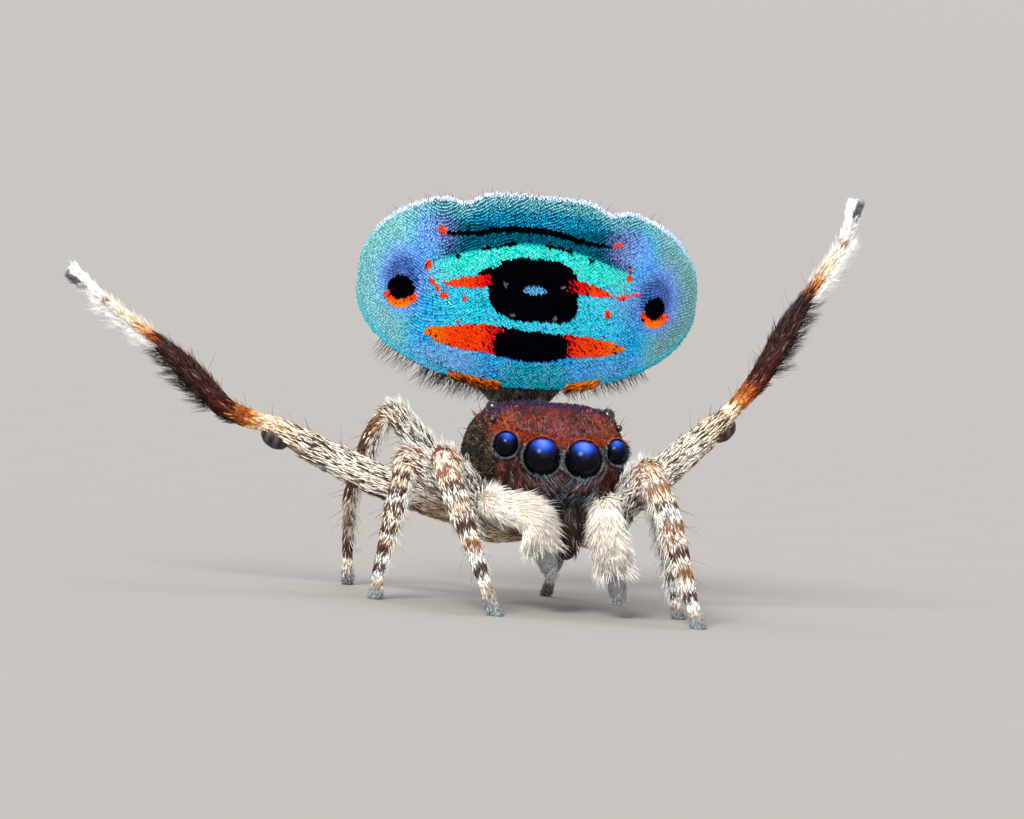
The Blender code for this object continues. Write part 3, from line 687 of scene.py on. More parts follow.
def fan_face(x, z, side, inset=FAN_COAT):
    """A point of the fan's front, side 1, or back, side -1, above x and z from its middle."""
    top, foot = fan_edge(x)
    middle, reach = (top + foot) / 2, np.maximum((top - foot) / 2, 0.02)
    edge = np.clip(1 - np.abs((z - middle) / reach) ** 2.2, 0, 1) ** 0.3
    low, high = FAN_NOTCHES
    flap = np.clip(smooth(0, -0.5, x - low) + smooth(0, 0.5, x - high), 0, 1)
    thick = PLATE_HALF_THICK + (FLAP_HALF_THICK - PLATE_HALF_THICK) * flap
    thick = thick * (1 - np.minimum(np.abs(x) / FAN_HALF_WIDTH, 1) ** 16) ** 0.5
    y = fan_bend(x, z) - side * np.maximum(thick - inset, 0.005) * edge
    return FAN_AT + rows_of(x, y, z)


def fan_shape(u, v):
    """The fan's whole skin, with u from its right end to its left and v round each upright section."""
    x = -(FAN_HALF_WIDTH - FAN_COAT) * np.cos(math.pi * np.clip(u, 0, 1))
    top, foot = fan_edge(x)
    middle, reach = (top + foot) / 2, np.maximum((top - foot) / 2 - FAN_COAT, 0.01)
    turn = 2 * math.pi * v
    z = middle + reach * np.sign(np.sin(turn)) * np.abs(np.sin(turn)) ** 0.9
    return fan_face(x, z, np.where(np.cos(turn) >= 0, 1.0, -1.0))


# Hair


def even_pairs(count, offset=0.5):
    """Pairs of numbers from 0 to 1 that cover the square evenly.

    They are the fractional parts of multiples of the inverse plastic ratio and of its square.
    """
    index = np.arange(1, count + 1)
    return (offset + index * 0.7548776662) % 1, (offset + index * 0.5698402910) % 1


# Share of the length, and share of the width there. Every hair ends in a point.
HAIR = ((0.0, 0.60), (0.50, 1.0))
THIN = ((0.0, 1.0), (0.50, 0.65))
LONG = ((0.0, 1.0), (0.35, 0.80), (0.70, 0.50))
SCALE = ((0.0, 0.75), (0.80, 1.0))
RIDGED_SCALE = ((0.0, 0.75), (0.48, 1.0), (0.80, 0.95))


def clumps_of(root, number):
    """The nearest of the first roots for each root: they are spread as evenly as the rest are."""
    middle = root[:number]
    apart = (root**2).sum(1)[:, None] + (middle**2).sum(1) - 2 * root @ middle.T
    return np.argmin(apart, 1)


class Hairs:
    """The coat of one region, gathered batch by batch and then made one mesh."""

    def __init__(self):
        self.points, self.tint, self.patch, self.share, self.faces, self.count = [], [], [], [], [], 0

    def add(
        self, root, out, lie, length, width, thick, rise, droop, tint, tip, place,
        profile=HAIR, bend=0, share=0, clump=None, pull=0.5, shade=(0, 1),
    ):
        """Closed hairs that taper to a point.

        With s from 0 to 1 the middle line is root + length * (s * way + s^2 * turn). The way leaves the
        skin by `rise`, the sine of its angle, and runs along `lie`; the turn falls back by `droop` and
        goes over by `bend`. The section is a triangle, `width` across and `thick` high. The colour goes
        from `tint` to `tip` between the two shares of the length in `shade`, and `place` is the root's
        place on the skin's unwrap. With a clump, each tip is drawn to the tip of its clump's own hair by
        the share `pull`.
        """
        number = len(root)
        lie = unit(lie - np.einsum("ij,ij->i", lie, out)[:, None] * out)
        rise, droop = (np.broadcast_to(v, number)[:, None] for v in (rise, droop))
        length, width, thick = (np.broadcast_to(v, number)[:, None] for v in (length, width, thick))
        way = rise * out + np.sqrt(1 - rise**2) * lie
        turn = bend - droop * out
        height = placed(root)[:, 2:] / MM
        dip = -leaned(length * (way + turn))[:, 2:]
        length = length * np.clip(height / np.maximum(dip, 1e-6), 0.3, 1)
        if clump is not None:
            end = root + length * (way + turn)
            turn = turn + pull * (end[clump] - end) / np.maximum(length, 0.05)
        side = unit(np.cross(out, lie))
        tint, tip = np.broadcast_to(tint, (number, 3)), np.broadcast_to(tip, (number, 3))
        rows, tints, patches = [], [], []
        for s, size in profile:
            middle = root + length * (s * way + s * s * turn)
            above = unit(np.cross(way + 2 * s * turn, side))
            colour = mixed(tint, tip, (s - shade[0]) / (shade[1] - shade[0]))
            for across, up in ((-0.5, 0.0), (0.5, 0.0), (0.0, 1.0)):
                rows.append(middle + size * (across * width * side + up * thick * above))
                tints.append(colour)
                patches.append(place + np.array((0.0024 * across, 0.0024 * (s - 0.5))))
        rows.append(root + length * (way + turn))
        tints.append(tip)
        patches.append(place + np.array((0.0, 0.0012)))
        per = len(rows)
        ring = np.arange(3)
        after = (ring + 1) % 3
        quads = []
        for level in range(len(profile) - 1):
            low = 3 * level
            quads.append(np.stack([low + ring, low + after, low + 3 + after, low + 3 + ring], -1))
        last = 3 * (len(profile) - 1)
        caps = np.concatenate([[[0, 2, 1]], np.stack([last + ring, last + after, np.full(3, per - 1)], -1)])
        first = self.count + per * np.arange(number)[:, None, None]
        self.faces.append((first + np.concatenate(quads)).reshape(-1, 4))
        self.faces.append((first + caps).reshape(-1, 3))
        self.points.append(np.stack(rows, 1).reshape(-1, 3))
        self.tint.append(np.stack(tints, 1).reshape(-1, 3))
        self.patch.append(np.clip(np.stack(patches, 1).reshape(-1, 2), 0.001, 0.999))
        self.share.append(np.repeat(np.broadcast_to(share, number), per))
        self.count += per * number

    def piece(self, name, finish, slot, replaces=()):
        quads = np.concatenate(self.faces[0::2])
        triangles = np.concatenate(self.faces[1::2])
        points = np.concatenate(self.points)
        return make_piece(
            name, points, [quads, triangles], finish, replaces,
            np.concatenate(self.tint), np.concatenate(self.share), np.concatenate(self.patch),
        )


def varied(number, low, high):
    """So many random numbers, evenly spread from low to high."""
    return chance.uniform(low, high, number)


def veered(lie, out, degrees):
    """Directions turned about the way out by a random angle, up to so many degrees either way."""
    angle = np.radians(chance.uniform(-degrees, degrees, len(lie)))[:, None]
    return np.cos(angle) * lie + np.sin(angle) * np.cross(out, lie)


# Legs


def is_raised(leg):
    """Whether a leg is one of the pair that is held up."""
    return int(leg[-1]) == RAISED_PAIR


def femur_line(leg):
    """Points and radii of a leg from its hip to its knee: an arch, or a sag where the leg is raised."""
    pair = int(leg[-1])
    side = 1 if leg.startswith("left") else -1
    knee = np.array(LEG_POSE[leg][0], float)
    hip = np.array((side * HIP_OUT, HIP_BACK[pair], HIP_Z))
    trochanter = np.array((side * TROCHANTER_OUT, HIP_BACK[pair], HIP_Z))
    trochanter += 0.10 * unit(knee - trochanter) * (1, 1, 0)
    lift = -RAISED_SAG[leg] if is_raised(leg) else STANDING_ARCH
    middle = 0.55 * trochanter + 0.45 * knee + (0, 0, lift)
    near_knee = 0.15 * trochanter + 0.85 * knee + (0, 0, 0.5 * lift)
    at_trochanter, at_femur, at_knee = LEG_RADII[pair][:3]
    radii = (HIP_RADIUS, at_trochanter, at_femur, 0.5 * (at_femur + at_knee) + 0.01, at_knee)
    return (hip, trochanter, middle, near_knee, knee), radii


def leg_course(leg, rows=180):
    """A leg's middle line through its femur, shin and foot, as in the solids, rounded at the joints."""
    *given, toe = LEG_POSE[leg]
    knee, patella, ankle, metatarsus = (np.array(joint, float) for joint in given)
    if len(toe) == 2:
        toe = (*toe, (-HEAD_AT[2] / MM - toe[1] * math.sin(HEAD_LEAN)) / math.cos(HEAD_LEAN))
    toe = np.array(toe, float)
    femur, femur_radii = femur_line(leg)
    at_knee, at_patella, at_tibia, at_ankle, at_metatarsus, at_toe = LEG_RADII[int(leg[-1])][2:]
    shin = (knee, patella, 0.45 * patella + 0.55 * ankle, ankle)
    stretches = (
        (femur, femur_radii, (0, 1, 1.45, 1.85, 2)),
        (shin, (at_knee, at_patella, at_tibia, at_ankle), (2, 3, 3.55, 4)),
        ((ankle, metatarsus, toe), (at_ankle, at_metatarsus, at_toe), (4, 5, 6)),
    )
    samples = [sampled(*stretch, 120) for stretch in stretches]
    samples[1:] = [[values[1:] for values in stretch] for stretch in samples[1:]]
    centres, radii, joints = (np.concatenate(values) for values in zip(*samples))
    under = np.array((0, 0, -1.0)) if is_raised(leg) else (femur[0] - toe) * (1, 1, 0)
    return Course(centres, radii, joints, under, rows, 0.035)


# Markings along a leg: count of joints, share of dark hairs, pale hair and dark hair.
STANDING_MARKS = (
    (0.0, 0.30, CREAM, TAN),
    (0.9, 0.35, CREAM, BROWN),
    (1.1, 0.34, PALE_GREY, SOOT),
    (1.7, 0.38, PALE_GREY, SOOT),
    (1.88, 0.45, CREAM, BROWN),
    (2.02, 0.55, CREAM, UMBER),
    (2.14, 0.12, IVORY, BROWN),
    (2.26, 0.20, IVORY, BROWN),
    (2.34, 0.85, IVORY, UMBER),
    (2.50, 0.80, IVORY, UMBER),
    (2.60, 0.06, CREAM, BROWN),
    (2.74, 0.06, CREAM, BROWN),
    (2.80, 0.97, IVORY, PLUM),
    (2.98, 0.97, IVORY, PLUM),
    (3.04, 0.04, WHITE, PLUM),
    (3.16, 0.06, WHITE, PLUM),
    (3.24, 0.68, IVORY, UMBER),
    (3.44, 0.62, IVORY, UMBER),
    (3.54, 0.16, CREAM, BROWN),
    (3.64, 0.42, IVORY, BROWN),
    (3.76, 0.30, IVORY, BROWN),
    (3.84, 0.97, IVORY, PLUM),
    (3.97, 0.97, IVORY, PLUM),
    (4.03, 0.04, WHITE, TAN),
    (4.18, 0.16, CREAM, GOLD),
    (4.26, 0.90, IVORY, UMBER),
    (4.42, 0.88, IVORY, UMBER),
    (4.52, 0.10, WHITE, UMBER),
    (4.72, 0.14, WHITE, UMBER),
    (4.80, 0.94, WHITE, PLUM),
    (4.97, 0.94, WHITE, PLUM),
    (5.04, 0.03, WHITE, TAN),
    (5.22, 0.05, WHITE, TAN),
    (5.32, 0.60, CREAM, FAWN),
    (5.62, 0.65, BLUE_GREY, FAWN),
    (5.80, 0.35, BLUE_GREY, SLATE),
    (6.0, 0.35, BLUE_GREY, SLATE),
)
# The front legs have the same rings, with golden brown for dark brown.
FRONT_MARKS = tuple(
    (at, dark, pale, BROWN if hair is UMBER else hair) for at, dark, pale, hair in STANDING_MARKS
)
REAR_MARKS = (
    (0.0, 0.30, CREAM, TAN),
    (1.0, 0.36, PALE_GREY, SOOT),
    (1.75, 0.40, PALE_GREY, SOOT),
    (1.95, 0.60, CREAM, UMBER),
    (2.20, 0.60, CREAM, BROWN),
    (2.50, 0.72, TAN, BROWN),
    (2.85, 0.80, CREAM, UMBER),
    (3.05, 0.70, CREAM, UMBER),
    (3.40, 0.72, PALE_GREY, BROWN),
    (3.85, 0.85, PALE_GREY, UMBER),
    (4.05, 0.30, CREAM, BROWN),
    (4.30, 0.55, PALE_GREY, BROWN),
    (4.60, 0.60, PALE_GREY, BROWN),
    (4.85, 0.92, PALE_GREY, UMBER),
    (5.05, 0.80, PALE_GREY, UMBER),
    (5.25, 0.35, CREAM, BROWN),
    (5.60, 0.65, PALE_GREY, BROWN),
    (5.85, 0.85, SLATE, UMBER),
    (6.0, 0.85, SLATE, UMBER),
)
RAISED_MARKS = (
    (0.0, 0.30, CREAM, TAN),
    (0.9, 0.35, CREAM, TAN),
    (1.12, 0.40, CREAM, TAN),
    (1.28, 0.26, IVORY, SOOT),
    (1.70, 0.30, IVORY, SOOT),
    (1.88, 0.45, CREAM, UMBER),
    (2.00, 0.22, CREAM, GOLD),
    (2.18, 0.35, CREAM, ORANGE),
    (2.32, 0.55, GOLD, ORANGE),
    (2.55, 0.60, ORANGE, RUST),
    (2.80, 0.60, ORANGE, MAROON),
    (2.95, 0.70, ORANGE, MAROON),
    (3.06, 0.97, SLATE, MAROON),
    (3.80, 0.95, SLATE, MAROON),
    (3.96, 0.97, SLATE, BLACK),
    (4.04, 0.80, RUST, MAROON),
    (4.14, 0.60, ORANGE, MAROON),
    (4.30, 0.50, GOLD, RUST),
    (4.46, 0.40, CREAM, GOLD),
    (4.62, 0.10, CREAM, GOLD),
    (4.90, 0.05, WHITE, TAN),
    (5.00, 0.85, CREAM, BROWN),
    (5.06, 0.85, CREAM, BROWN),
    (5.12, 0.03, WHITE, PALE_GREY),
    (6.0, 0.03, WHITE, PALE_GREY),
)
MARKS = {1: FRONT_MARKS, 2: STANDING_MARKS, 3: RAISED_MARKS, 4: REAR_MARKS}

# Bands of longer hair: count, joints, turns, length, width, rise, droop, colours of root and tip, tufts.
# Standing legs have pale hair on the inner side of shin and femur, and a claw tuft.
STANDING_BANDS = (
    (420, (1.9, 4.9), (-75, 75), (0.14, 0.30), 0.0075, (0.45, 0.85), (0.1, 0.5), PALE_GREY, WHITE, 110),
    (240, (1.1, 2.0), (-80, 80), (0.17, 0.30), 0.0095, (0.4, 0.75), (0.1, 0.4), DIM_GREY, WHITE, 44),
    (420, (5.50, 5.99), (0, 360), (0.06, 0.112), 0.008, (0.35, 0.75), (0, 0.3), DIM_BLUE, BLUE_GREY, 50),
)
# Raised legs have the shin's black brush and crest, the metatarsus's white fringe and the foot's tufts.
RAISED_BANDS = (
    (400, (3.10, 4.00), (-60, 60), (0.20, 0.37), 0.0075, (0.50, 0.95), (0, 0.30), BLACK, DIM_SOOT, 44),
    (220, (3.06, 4.06), (110, 250), (0.10, 0.22), 0.0085, (0.35, 0.80), (0.1, 0.4), BLACK, DIM_SOOT, 60),
    (120, (3.1, 3.98), (40, 320), (0.14, 0.28), 0.0055, (0.12, 0.3), (0, 0.2), DIM_SLATE, SLATE * 1.3, 0),
    (60, (2.72, 3.02), (-40, 40), (0.10, 0.17), 0.010, (0.5, 0.8), (0.1, 0.3), BLACK, BLACK, 12),
    (860, (4.06, 5.02), (-60, 60), (0.20, 0.36), 0.0085, (0.50, 0.92), (0.1, 0.4), WHITE, WHITE, 150),
    (150, (4.20, 5.0), (110, 250), (0.10, 0.22), 0.006, (0.4, 0.8), (0.1, 0.3), CREAM, WHITE, 40),
    (110, (4.94, 5.08), (-70, 70), (0.07, 0.11), 0.010, (0.3, 0.6), (0.1, 0.3), BROWN, BROWN, 16),
    (520, (5.05, 5.93), (70, 290), (0.10, 0.17), 0.011, (0.2, 0.45), (0, 0.2), WHITE, WHITE, 60),
    (300, (5.56, 5.97), (-75, 75), (0.09, 0.14), 0.0075, (0.45, 0.75), (0.1, 0.3), DIM_SLATE, PALE_SLATE, 40),
    (140, (5.05, 5.6), (-70, 70), (0.12, 0.2), 0.007, (0.45, 0.7), (0.1, 0.4), PALE_GREY, WHITE, 24),
)
# Stiff dark bristles: count, joints, turns, length.
BRISTLES = (
    (5, (1.3, 1.8), (150, 215), (0.16, 0.24)),
    (3, (1.84, 1.97), (140, 215), (0.18, 0.26)),
    (3, (2.1, 2.9), (130, 230), (0.12, 0.18)),
    (6, (3.1, 3.9), (100, 260), (0.14, 0.24)),
    (5, (3.3, 3.95), (-50, 50), (0.12, 0.20)),
    (5, (4.1, 4.9), (-70, 70), (0.10, 0.18)),
)


def leg_marks(leg, joints, turn, points):
    """Share of dark hairs, pale and dark hair, by the count of joints and the degrees from the underside."""
    counts, darks, *hair = zip(*MARKS[int(leg[-1])])
    wavy = joints + 0.05 * ripple(points, 0.22, 5)
    dark = np.interp(wavy, counts, darks)
    pale_hair, dark_hair = (
        rows_of(*(np.interp(wavy, counts, channel) for channel in np.transpose(colours))) for colours in hair
    )
    off_underside = np.minimum(turn % 360, 360 - turn % 360)
    femur = smooth(0.95, 1.1, joints) * smooth(2.0, 1.9, joints)
    dark = dark + femur * (0.14 * ripple(points, 0.15, 9) + 0.22 * smooth(75, 25, off_underside))
    if is_raised(leg):
        sole = smooth(5.4, 5.6, joints) * smooth(95, 55, off_underside)
        dark = dark + sole
        dark_hair = mixed(dark_hair, SLATE * 0.8, sole)
    return np.clip(dark, 0.02, 0.98), pale_hair, dark_hair


def leg_skin(leg, course):
    """The skin under a leg's coat: 0.7 of the coat's colours, tan at the hip, dark where a shin is bare."""
    rings, joints, turn = course.grid(28, LEG_COAT)
    dark, pale_hair, dark_hair = leg_marks(leg, joints, turn, rings)
    tint = mixed(pale_hair * 0.7, dark_hair * 0.7, dark)
    tint = mixed(tint, TAN * 0.8, smooth(1.1, 0.8, joints))
    if is_raised(leg):
        tint = mixed(tint, rgb(66, 25, 19), smooth(3.0, 3.1, joints) * smooth(4.15, 3.95, joints))
    nodes = [f"leg_{leg}_{part}" for part in ("femur", "tibia", "foot")]
    skin_piece(f"skin_leg_{leg}", rings, tint, CUTICLE, nodes)


def leg_slot(leg):
    """The slot name passed with a leg's coat: brush hair on a raised leg, banded hair on the others."""
    return "brush_hair" if is_raised(leg) else "banded_hair"


def spread_over(course, count, low=0.0, high=1.0, turns=(0, 360)):
    """Even roots over a band of a limb, more of them where it is thick: share of length and turn."""
    first, second = even_pairs(count, chance.uniform())
    share = np.linspace(low, high, 200)
    weight = np.cumsum(course.at(share, course.radii))
    share = np.interp(first, (weight - weight[0]) / (weight[-1] - weight[0]), share)
    share = share + chance.normal(0, 0.002, count)
    turn = turns[0] + (turns[1] - turns[0]) * second + chance.normal(0, 2.0, count)
    return np.clip(share, 0, 1), turn


def share_at(course, joint):
    """The share of a limb's length where its count of joints reaches a number."""
    return float(np.interp(joint, course.joints, np.linspace(0, 1, len(course.joints))))


def unwrapped(around, along):
    """Places on a skin's unwrap, with a small margin, from the shares of the way round and along."""
    return 0.02 + 0.96 * rows_of(around, along)


def limb_place(share, turn):
    """Places on a limb's unwrap, from shares of its length and degrees round it."""
    return unwrapped((turn % 360) / 360, share)


def leg_coat(leg, course):
    """Short hair that lies along the leg, with bristles, fringes and brushes where the photo has them."""
    hairs = Hairs()
    share, turn = spread_over(course, int(course.length * 1200))
    if is_raised(leg):
        joints = course.at(share, course.joints)
        bare = smooth(3.04, 3.12, joints) * smooth(4.12, 4.0, joints)
        over_bulb = (np.abs(joints - 1.93) < 0.13) & (np.cos(np.radians(turn)) > 0.55)
        kept = (varied(len(share), 0, 1) > 0.50 * bare) & ~over_bulb
        share, turn = share[kept], turn[kept]
    count = len(share)
    root, out, along, joints = course.surface(share, turn, LEG_COAT + 0.008)
    dark, pale_hair, dark_hair = leg_marks(leg, joints, turn, root)
    clump = clumps_of(root, count // 6)
    shared = varied(count, 0, 1)[clump]
    streak = 0.16 * ripple(rows_of(joints * 0.9, np.radians(turn) * 1.4), 1.1, 21)
    even = np.where(joints < 2, 0.15, 0.5)
    is_dark = (1 - even) * varied(count, 0, 1) + even * shared < dark + streak
    tint = np.where(is_dark[:, None], dark_hair, pale_hair)
    tint = tint * (varied(count, 0.76, 1.08) * (0.86 + 0.26 * shared))[:, None]
    length = np.where(joints < 2, 0.165, 0.125) * varied(count, 0.75, 1.35)
    length = np.where(joints > 5, length * 0.85, length)
    width = np.where(is_dark, 0.012, 0.017) * varied(count, 0.8, 1.2)
    rise = varied(count, 0.18, 0.48)
    hairs.add(
        root, out, veered(along, out, 18), length, width, 0.005, rise, rise * 0.7, tint * 0.8, tint,
        limb_place(share, turn), clump=clump, pull=0.45,
    )
    for bristles in BRISTLES:
        hair_band(hairs, course, *bristles, 0.012, (0.5, 0.8), (0.1, 0.3), BLACK, BLACK, profile=LONG)
    hair_band(
        hairs, course, 34, (1.2, 5.0), (90, 270), (0.20, 0.40), 0.0052, (0.7, 0.95), (0.1, 0.5), SOOT, SOOT,
        spread=50, profile=LONG,
    )
    for band in RAISED_BANDS if is_raised(leg) else STANDING_BANDS:
        hair_band(hairs, course, *band)
    hairs.piece(f"coat_leg_{leg}", COAT, leg_slot(leg))


def hair_band(
    hairs, course, count, joints, turns, length, width, rise, droop, tint, tip,
    tufts=0, spread=14, profile=THIN,
):
    """More hair on one band of a limb: between two counts of joints and two turns, in so many tufts."""
    low, high = (share_at(course, joint) for joint in joints)
    share, turn = spread_over(course, count, low, high, turns)
    root, out, along, _ = course.surface(share, turn, LEG_COAT + 0.012)
    glow = varied(count, 0.75, 1.15)[:, None]
    clump = clumps_of(root, tufts) if tufts else None
    hairs.add(
        root, out, veered(along, out, spread), varied(count, *length), width, width * 0.5,
        varied(count, *rise), varied(count, *droop), tint * glow, tip * glow, limb_place(share, turn),
        profile, clump=clump, pull=0.7,
    )


def knee_bulb(leg):
    """The smooth dark bulb under the far end of a raised femur: a ball drawn out along the leg."""
    points, sizes = femur_line(leg)
    line = catmull(points, np.array([KNEE_BULB_AT - 0.01, KNEE_BULB_AT, KNEE_BULB_AT + 0.01]))
    along = unit(line[2] - line[0])
    down = unit(np.array((0, 0, -1.0)) + along[2] * along)
    radius = np.interp(KNEE_BULB_AT, chord_shares(points), sizes)
    centre = line[1] + (radius - 0.8 * KNEE_BULB_SUNK) * down
    tip, turn = ball_angles(40, 48)
    local = rows_of(-1.4 * np.cos(tip), np.sin(tip) * np.cos(turn), np.sin(tip) * np.sin(turn))
    wave = np.sin(9 * tip + 2 * np.cos(turn))
    ridged = (1 + 0.015 * wave)[..., None] * local
    rings = centre + (KNEE_BULB_RADIUS - 0.004) * ridged @ np.stack([along, down, np.cross(along, down)])
    tint = mixed(rgb(30, 24, 22), rgb(72, 62, 56), 0.5 + 0.5 * wave)
    skin_piece(f"knee_bulb_{leg}", rings, tint, CUTICLE)


# Palps


def palp_course(points, radii, counts, rows=90):
    """The middle line of a short limb through a few points."""
    return Course(*sampled(points, radii, counts, 200), (0, 1, 0), rows, 0.02)


def palp(word):
    """A palp: its darker femur, and the shaggy cream tufts from its knee to its grey tip."""
    shoulder, knee, wrist, tip = (np.array(point, float) for point in PALP_POSE[word])
    side = 1 if word == "left" else -1
    elbow = 0.5 * (shoulder + knee) + (0.03 * side, 0.02, 0)
    arm = palp_course((shoulder, elbow, knee), PALP_FEMUR_RADII, (0, 0.5, 1), 50)
    hand = palp_course((knee, wrist, 0.5 * (wrist + tip) + (0, -0.03, 0), tip), PALP_RADII, (1, 2, 2.5, 3))
    rings, joints, _ = arm.grid(24, 0.02)
    tint = mixed(UMBER, TAN, joints)
    skin_piece(f"skin_palp_{word}_femur", rings, tint, CUTICLE, [f"palp_{word}_femur"])
    rings, joints, _ = hand.grid(28, 0.02)
    tint = mixed(rgb(252, 234, 210), rgb(104, 92, 92), smooth(2.5, 2.9, joints))
    skin_piece(f"skin_palp_{word}", rings, tint, CUTICLE, [f"palp_{word}"])

    hairs = Hairs()
    count = 900
    share, turn = spread_over(arm, count)
    root, out, along, _ = arm.surface(share, turn, 0.03)
    rise = varied(count, 0.3, 0.6)
    tint = mixed(DIM_GREY, CREAM, varied(count, 0, 1))
    hairs.add(
        root, out, veered(along, out, 20), varied(count, 0.12, 0.22), 0.011, 0.007, rise, 0.5 * rise,
        tint * 0.6, tint, limb_place(share, turn), THIN, clump=clumps_of(root, 100), pull=0.4,
    )
    count = 7200
    share, turn = spread_over(hand, count, 0.0, 0.985)
    root, out, along, joints = hand.surface(share, turn, 0.05)
    end = smooth(2.15, 2.60, joints)
    clump = clumps_of(root, 260)
    spots = smooth(0.0, 0.9, ripple(root, 0.22, 31))
    base = mixed(mixed(rgb(255, 236, 214), rgb(232, 184, 142), spots), rgb(98, 80, 88), end)
    pale = mixed(rgb(255, 247, 233), rgb(128, 132, 142), end)
    pale = pale * (varied(count, 0.93, 1.05) * varied(count, 0.90, 1.06)[clump])[:, None]
    length = (0.31 - 0.19 * end) * varied(count, 0.75, 1.18)
    rise = varied(count, 0.30, 0.75) - 0.1 * end
    hairs.add(
        root, out, veered(along, out, 16), length, 0.0130, 0.0035, rise, rise * 0.30, base, pale,
        limb_place(share, turn), HAIR, clump=clump, pull=0.45,
    )
    count = 800
    share, turn = spread_over(hand, count, 0.0, 0.7)
    root, out, along, joints = hand.surface(share, turn, 0.045)
    hairs.add(
        root, out, veered(along, out, 30), varied(count, 0.28, 0.38), 0.0065, 0.005, varied(count, 0.55, 0.8),
        varied(count, 0.1, 0.5), CREAM, WHITE, limb_place(share, turn), LONG,
    )
    domed_tuft(hairs, hand, 0, 420, (0.16, 0.26), 0.013, rgb(244, 222, 192), rgb(255, 253, 246))
    domed_tuft(hairs, hand, -1, 260, (0.07, 0.13), 0.010, DIM_SLATE, BLUE_GREY)
    hairs.piece(f"coat_palp_{word}", SILK, "palp_hair")


def domed_tuft(hairs, course, end, count, length, width, tint, tip):
    """Hair over the dome at one end of a limb: even roots on half a ball, combed away from its top."""
    first, second = even_pairs(count, 0.4)
    lift, turn = np.clip(first, 0.02, 0.98), 2 * math.pi * second
    spread = np.sqrt(1 - lift**2)
    sign = 1 if end else -1
    along, down, side = course.along[end] * sign, course.down[end], course.side[end]
    ring = np.cos(turn)[:, None] * down + np.sin(turn)[:, None] * side
    out = lift[:, None] * along + spread[:, None] * ring
    root = course.centres[end] + (course.radii[end] - 0.04) * out
    lie = unit(course.along[end] + 0.6 * ring + chance.normal(0, 0.15, (count, 3)))
    rise = varied(count, 0.3, 0.7)
    place = np.stack([0.02 + 0.96 * second, np.full(count, 0.99 if end else 0.01)], -1)
    length = varied(count, *length)
    hairs.add(root, out, lie, length, width, width * 0.6, rise, 0.4 * rise, tint, tip, place, THIN)


# Head and thorax


def carapace_tint(points):
    """Brick red on top, orange-brown to the edges, olive-black down the flanks and dark brown on the face."""
    x, y, z = np.moveaxis(points, -1, 0)
    flank = smooth(0.60, 0.80, np.abs(x)) * smooth(0.42, 0.16, z) * smooth(-0.02, 0.16, y)
    flank = np.maximum(flank, smooth(0.10, -0.14, z) * smooth(0.05, 0.25, y))
    mottle = ripple(points, 0.22, 41)
    fine = ripple(points, 0.07, 43)
    top = mixed(BRICK, rgb(74, 36, 30), smooth(-0.5, 0.6, mottle + 0.5 * fine))
    top = mixed(top, rgb(136, 72, 60), 0.6 * smooth(0.1, 0.9, ripple(points, 0.13, 47)))
    top = mixed(top, rgb(206, 92, 14), smooth(0.36, 0.62, np.abs(x)) * smooth(-0.2, 0.7, fine + 0.6 * mottle))
    crest = 0.6 * smooth(0.20, 0.02, np.abs(x + 0.02)) * smooth(0.0, 0.8, fine + mottle)
    top = mixed(top, rgb(182, 36, 24), crest)
    top = mixed(top, rgb(48, 32, 84), 0.9 * smooth(0.62, 0.92, y))
    side = mixed(rgb(34, 26, 18), rgb(82, 62, 36), smooth(0.1, 0.9, mottle + fine))
    face = smooth(0.10, -0.04, z) * smooth(0.20, 0.04, y)
    front = mixed(rgb(38, 18, 14), rgb(92, 40, 26), smooth(-0.6, 0.8, fine + 0.5 * mottle))
    return 0.77 * mixed(mixed(top, side, flank), front, face)


def eye_places():
    """Name, centre and radius of each eye, and the way it looks."""
    for name, (out, back, lift, radius) in EYES.items():
        for side, word in ((1, "left"), (-1, "right")):
            turn = EYE_TURN[name] * side
            facing = np.array((math.sin(turn), -math.cos(turn), 0.05))
            yield f"{name}_{word}", np.array((side * out, back, lift)), radius, unit(facing)


def carapace_skin():
    """The skin of the head and thorax, set back from the front eyes and raised round the rear ones."""
    rings, _ = head_surface(*skin_grid(170, 240))
    skin_piece("skin_carapace", rings, carapace_tint(rings) * 0.6, CUTICLE, ["carapace"])


def carapace_places(count):
    """Even roots over the head and thorax, as pairs of its two parameters."""
    u, v = even_pairs(count * 4, 0.37)
    u = 0.01 + 0.98 * u
    step = 0.002
    along = carapace_shape(u + step, v) - carapace_shape(u - step, v)
    around = carapace_shape(u, v + step) - carapace_shape(u, v - step)
    area = np.linalg.norm(np.cross(along, around), axis=-1)
    kept = varied(len(u), 0, 1) < area / np.quantile(area, 0.97)
    return u[kept][:count], v[kept][:count]


def clear_of_eyes(root, room):
    """Which roots are farther than so much room from every eye."""
    clear = np.ones(len(root), bool)
    for _, centre, radius, _ in eye_places():
        clear &= np.linalg.norm(root - centre, axis=-1) > radius + room
    return clear


